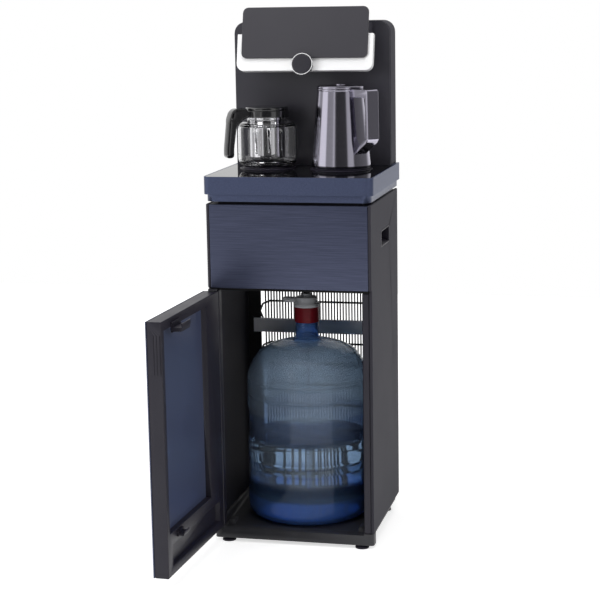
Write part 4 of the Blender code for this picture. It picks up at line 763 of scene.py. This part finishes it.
cap_grey, tree, shader = finish("moulded_polypropylene_grey", Roughness=0.4)
place = add(tree, "ShaderNodeTexCoord")
drift = add(tree, "ShaderNodeTexNoise", {"Scale": 60.0, "Detail": 3.0}, {0: place.outputs["Object"]})
tone = add(
    tree, "ShaderNodeMix", {6: colour("#bfc1c6"), 7: colour("#d0d2d6")}, {0: drift.outputs[0]},
    data_type="RGBA",
)
tree.links.new(tone.outputs[2], shader.inputs["Base Color"])
fair_copy("adapter", "water_bottle", cap_grey, "adapter_grey")
low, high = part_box("suction_tube")
centre = (low + high) / 2
pipe_radius = 0.005
profile = eased(((0, high.z), (pipe_radius, high.z), (pipe_radius, low.z), (0, low.z)), 0.001)
form = spun(profile, (centre.x, centre.y, 0), 32)
pipe_clear, tree, shader = finish(
    "extruded_polyethylene_clear", Base_Color=colour("#e4e8ee"), Roughness=0.02, IOR=1.33,
    Transmission_Weight=1.0,
)
piece(form, "dip_pipe", "water_bottle", pipe_clear, "tube_white", "suction_tube")

# Kettle
# A spun stainless kettle with a violet-grey vacuum tint and a polish that mirrors the room in upright bands.
# A broad strap handle, a pulled lip and a low lid with a button belong to it, and a black foot carries it.
kettle_metal, tree, shader = finish("tinted_stainless_steel", Metallic=1.0)
place = add(tree, "ShaderNodeTexCoord")
stretched = add(tree, "ShaderNodeMapping", {"Scale": (30.0, 30.0, 900.0)}, {0: place.outputs["Object"]})
lines = add(tree, "ShaderNodeTexNoise", {"Scale": 1.0, "Detail": 3.0}, {0: stretched.outputs[0]})
tone = add(
    tree, "ShaderNodeMix", {6: colour("#a8a5b3"), 7: colour("#b2afbd")}, {0: lines.outputs[0]},
    data_type="RGBA",
)
gloss = add(tree, "ShaderNodeMapRange", {"To Min": 0.09, "To Max": 0.16}, {0: lines.outputs[0]})
tree.links.new(tone.outputs[2], shader.inputs["Base Color"])
tree.links.new(gloss.outputs[0], shader.inputs["Roughness"])
kettle_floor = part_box("power_base")[1].z
kettle_turn = Matrix.Rotation(math.radians(-38.5), 4, "Z")
kettle_place = Matrix.Translation((kettle_axis.x, kettle_axis.y, kettle_floor)) @ kettle_turn
kettle_height = 0.170
top_radius = 0.050
base_radius = 0.0645
kettle_wall = 0.0015
profile = [(0.0504, kettle_height)]
profile += eased((
    (0.0507, kettle_height), (0.0512, kettle_height - 0.0008), (0.0512, kettle_height - 0.003),
    (top_radius, kettle_height - 0.0042), (base_radius, 0.008), (base_radius - 0.001, 0.0043),
    (base_radius - 0.004, 0.0033), (0, 0.0033),
), 0.002)
form = spun(profile, (0, 0, 0), 128)
lip_spread = 0.32
lip_reach = 0.0098
lip_drop = 0.022
lip_from = 0.03
for vertex in form.verts:
    around = abs(math.atan2(vertex.co.y, -vertex.co.x))
    rise = (vertex.co.z - kettle_height + lip_drop) / lip_drop
    if around < lip_spread and rise > 0 and vertex.co.xy.length > lip_from:
        share = (1 - around / lip_spread) * min(rise, 1)
        vertex.co.x -= lip_reach * share
bmesh.ops.transform(form, verts=form.verts, matrix=kettle_place)
made = piece(form, "kettle_shell", "kettle", kettle_metal, "kettle_metal", "kettle_body", crease=50)
thick = made.modifiers.new("wall", "SOLIDIFY")
thick.thickness = kettle_wall
thick.offset = -1
ring_radius = 0.0625
ring_top = 0.003
profile = eased(((0, ring_top), (ring_radius, ring_top), (ring_radius, SEAT), (0, SEAT)), 0.0008)
form = spun(profile, (kettle_axis.x, kettle_axis.y, kettle_floor), 96)
piece(form, "kettle_foot_ring", "kettle", moulded_black, "black_plastic", "kettle_foot")
fair_copy("kettle_handle", "kettle", kettle_metal, "kettle_metal")
profile = eased((
    (0, 0.0092), (0.0103, 0.0092), (0.011, 0.0085), (0.0112, 0.0070), (0.030, 0.0066), (0.0485, 0.0058),
    (0.0506, 0.0043), (0.0506, 0.0003), (0.0473, 0.0003), (0.0458, -0.006), (0, -0.006),
), 0.0015)
form = spun(profile, (kettle_axis.x, kettle_axis.y, kettle_floor + kettle_height), 96)
piece(form, "kettle_cap", "kettle_cover", kettle_metal, "kettle_metal", "kettle_lid")

# Teapot
# Blown borosilicate glass, held at its neck by a gloss black phenolic collar with a hanging grip. A steel
# infuser hangs inside, under a low black lid.
pot_glass, tree, shader = finish(
    "borosilicate_glass", Base_Color=colour("#fbfbfc"), Roughness=0.0, IOR=1.47, Transmission_Weight=1.0,
)
phenolic, tree, shader = finish("gloss_phenolic_black", Coat_Weight=0.8, Specular_IOR_Level=0.8)
place = add(tree, "ShaderNodeTexCoord")
flow = add(tree, "ShaderNodeTexNoise", {"Scale": 40.0, "Detail": 3.0}, {0: place.outputs["Object"]})
tone = add(
    tree, "ShaderNodeMix", {6: colour("#111113"), 7: colour("#1b1b1e")}, {0: flow.outputs[0]},
    data_type="RGBA",
)
gloss = add(tree, "ShaderNodeMapRange", {"To Min": 0.10, "To Max": 0.20}, {0: flow.outputs[0]})
tree.links.new(tone.outputs[2], shader.inputs["Base Color"])
tree.links.new(gloss.outputs[0], shader.inputs["Roughness"])
infuser_steel, tree, shader = finish("polished_stainless_steel", Metallic=1.0, Base_Color=colour("#dedee0"))
place = add(tree, "ShaderNodeTexCoord")
haze = add(tree, "ShaderNodeTexNoise", {"Scale": 110.0, "Detail": 3.0}, {0: place.outputs["Object"]})
gloss = add(tree, "ShaderNodeMapRange", {"To Min": 0.03, "To Max": 0.09}, {0: haze.outputs[0]})
tree.links.new(gloss.outputs[0], shader.inputs["Roughness"])
pot_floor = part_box("warming_plate")[1].z
pot_spot = (teapot_axis.x, teapot_axis.y, pot_floor)
pot_radius = 0.064
pot_wall = 0.002
pot_neck = 0.0425
pot_base = 0.048
pot_rim = 0.113
pot_waist = 0.1005
pot_belt = 0.076
pot_shoulder = 0.0225
pot_heel = 0.017
shoulder_width = pot_radius - pot_neck
heel_width = pot_radius - pot_base
profile = [(pot_neck, pot_rim), (pot_neck, pot_waist)]
for step in range(7):
    angle = math.radians(78 - 13 * step)
    profile.append((pot_neck + shoulder_width * math.cos(angle), pot_belt + pot_shoulder * math.sin(angle)))
for step in range(7):
    angle = math.radians(15 * step)
    profile.append((pot_base + heel_width * math.cos(angle), SEAT + pot_heel * (1 - math.sin(angle))))
profile.append((0, SEAT))
form = spun(eased(profile, 0.003, 2), pot_spot, 96)
made = piece(form, "pot_glass", "teapot", pot_glass, "clear_glass", "teapot_glass", crease=60)
thick = made.modifiers.new("wall", "SOLIDIFY")
thick.thickness = pot_wall
thick.offset = -1

# Teapot collar and grip
# Moulded together in phenolic: a ring clamped round the glass neck, an arm, and a grip that hangs from it, as
# round as a thumb, with a hole through its knee.
pot_turn = math.radians(221.4)
pot_place = Matrix.Translation(pot_spot) @ Matrix.Rotation(pot_turn, 4, "Z")
collar_inner = pot_neck + SEAT
collar_outer = collar_inner + 0.005
collar_low = 0.1055
collar_top = 0.120
seam = (collar_inner, collar_low + 0.004)
profile = eased((
    seam, (collar_inner, collar_top), (collar_outer, collar_top), (collar_outer, collar_low),
    (collar_inner, collar_low), seam,
), 0.0016)
form = spun(profile[:-1], pot_spot, 96, closed=True)
piece(form, "pot_collar", "teapot", phenolic, "black_plastic", "teapot_handle")
grip_width = 0.022
grip_outline = eased((
    (0.0445, 0.113), (0.0445, 0.1192), (0.0493, 0.1192), (0.0528, 0.127), (0.0792, 0.127), (0.0885, 0.120),
    (0.0957, 0.100), (0.1027, 0.040), (0.1027, 0.0212), (0.0837, 0.0212), (0.0837, 0.040), (0.0767, 0.087),
    (0.0608, 0.101), (0.0445, 0.1062), (0.0445, 0.113),
), 0.0085, 6)[:-1]
hole_outline = eased((
    (0.0827, 0.11775), (0.0792, 0.12), (0.0862, 0.1155), (0.0912, 0.1045), (0.0867, 0.1045),
    (0.0827, 0.11775),
), 0.0012, 3)[:-1]


def set_in(outline, depths):
    """Move each point of a closed outline square to it, to the right of its run, by a depth of its own."""
    moved = []
    for number, point in enumerate(outline):
        run = outline[(number + 1) % len(outline)] - outline[number - 1]
        moved.append(point + Vector((run.y, -run.x)).normalized() * depths[number])
    return moved


form = bmesh.new()
grip_round = 0.0062
hole_round = 0.0008
reach_share = 0.55
grip_depths = []
for point in grip_outline:
    to_hole = min((point - other).length for other in hole_outline)
    grip_depths.append(min(grip_round, reach_share * to_hole))
steps = 6
rims = []
for outline, depths in ((grip_outline, grip_depths), (hole_outline, [-hole_round] * len(hole_outline))):
    loops = []
    for step in range(2 * steps + 2):
        turned = math.radians(90 * step / steps) if step <= steps else math.radians(90 * (step - 1) / steps)
        inset = [depth * (1 - math.sin(turned)) for depth in depths]
        reach = [abs(depth) * math.cos(turned) for depth in depths]
        side = 1 if step <= steps else -1
        loop = []
        for point, out_reach, depth in zip(set_in(outline, inset), reach, depths):
            level_part = side * (grip_width / 2 - abs(depth)) + out_reach
            loop.append(form.verts.new((point.x, level_part, point.y)))
        loops.append(loop)
    for one, other in zip(loops, loops[1:]):
        for number in range(len(one)):
            after = (number + 1) % len(one)
            form.faces.new((one[number], one[after], other[after], other[number]))
    rims.append((loops[0], loops[-1]))
for end in (0, 1):
    edges = []
    for rim in rims:
        loop = rim[end]
        edges += [form.edges.get((loop[number - 1], loop[number])) for number in range(len(loop))]
    bmesh.ops.triangle_fill(form, use_beauty=True, edges=edges)
bmesh.ops.remove_doubles(form, verts=form.verts, dist=MERGED)
bmesh.ops.recalc_face_normals(form, faces=form.faces)
bmesh.ops.transform(form, verts=form.verts, matrix=pot_place)
piece(form, "pot_grip", "teapot", phenolic, "black_plastic", crease=60)

# Teapot lid and infuser
# The low domed lid is phenolic as well, and its plug drops into the mouth of the infuser. The infuser is a
# deep drawn cup of thin polished steel, which hangs in the neck by its flange and has eight upright slits.
profile = eased((
    (0, 0.1297), (0.024, 0.1290), (0.0435, 0.1277), (0.0463, 0.1262), (0.0465, 0.1203), (0.034, 0.1203),
    (0.034, 0.1153), (0, 0.1153),
), 0.002)
form = spun(profile, pot_spot, 96)
piece(form, "pot_cover", "teapot_cover", phenolic, "black_plastic", "teapot_lid")
cup_radius = 0.037
cup_wall = 0.001
cup_floor = 0.019
cup_top = 0.1133
flange_radius = 0.042
slit_low = 0.032
slit_high = 0.076
profile = eased(((flange_radius, cup_top), (cup_radius, cup_top), (cup_radius, 0.090)), 0.0012)
profile += [(cup_radius, slit_high), (cup_radius, slit_low)]
profile += eased(((cup_radius, 0.029), (cup_radius, cup_floor), (0, cup_floor)), 0.003)
# Of 80 upright strips of faces, every tenth is cut out between the slits' ends
strips = 80
form = spun(profile, (0, 0, 0), strips)
pitch = math.tau / strips
bmesh.ops.rotate(form, verts=form.verts, matrix=Matrix.Rotation(-pitch / 2, 3, "Z"))
slits = []
for face in form.faces:
    middle = face.calc_center_median()
    number = round(math.atan2(middle.y, middle.x) / pitch)
    if slit_low < middle.z < slit_high and number % 10 == 5:
        slits.append(face)
bmesh.ops.delete(form, geom=slits, context="FACES")
bmesh.ops.transform(form, verts=form.verts, matrix=pot_place)
made = piece(form, "infuser_cup", "teapot_cover", infuser_steel, "infuser_steel", "infuser")
thick = made.modifiers.new("wall", "SOLIDIFY")
thick.thickness = cup_wall
thick.offset = -1
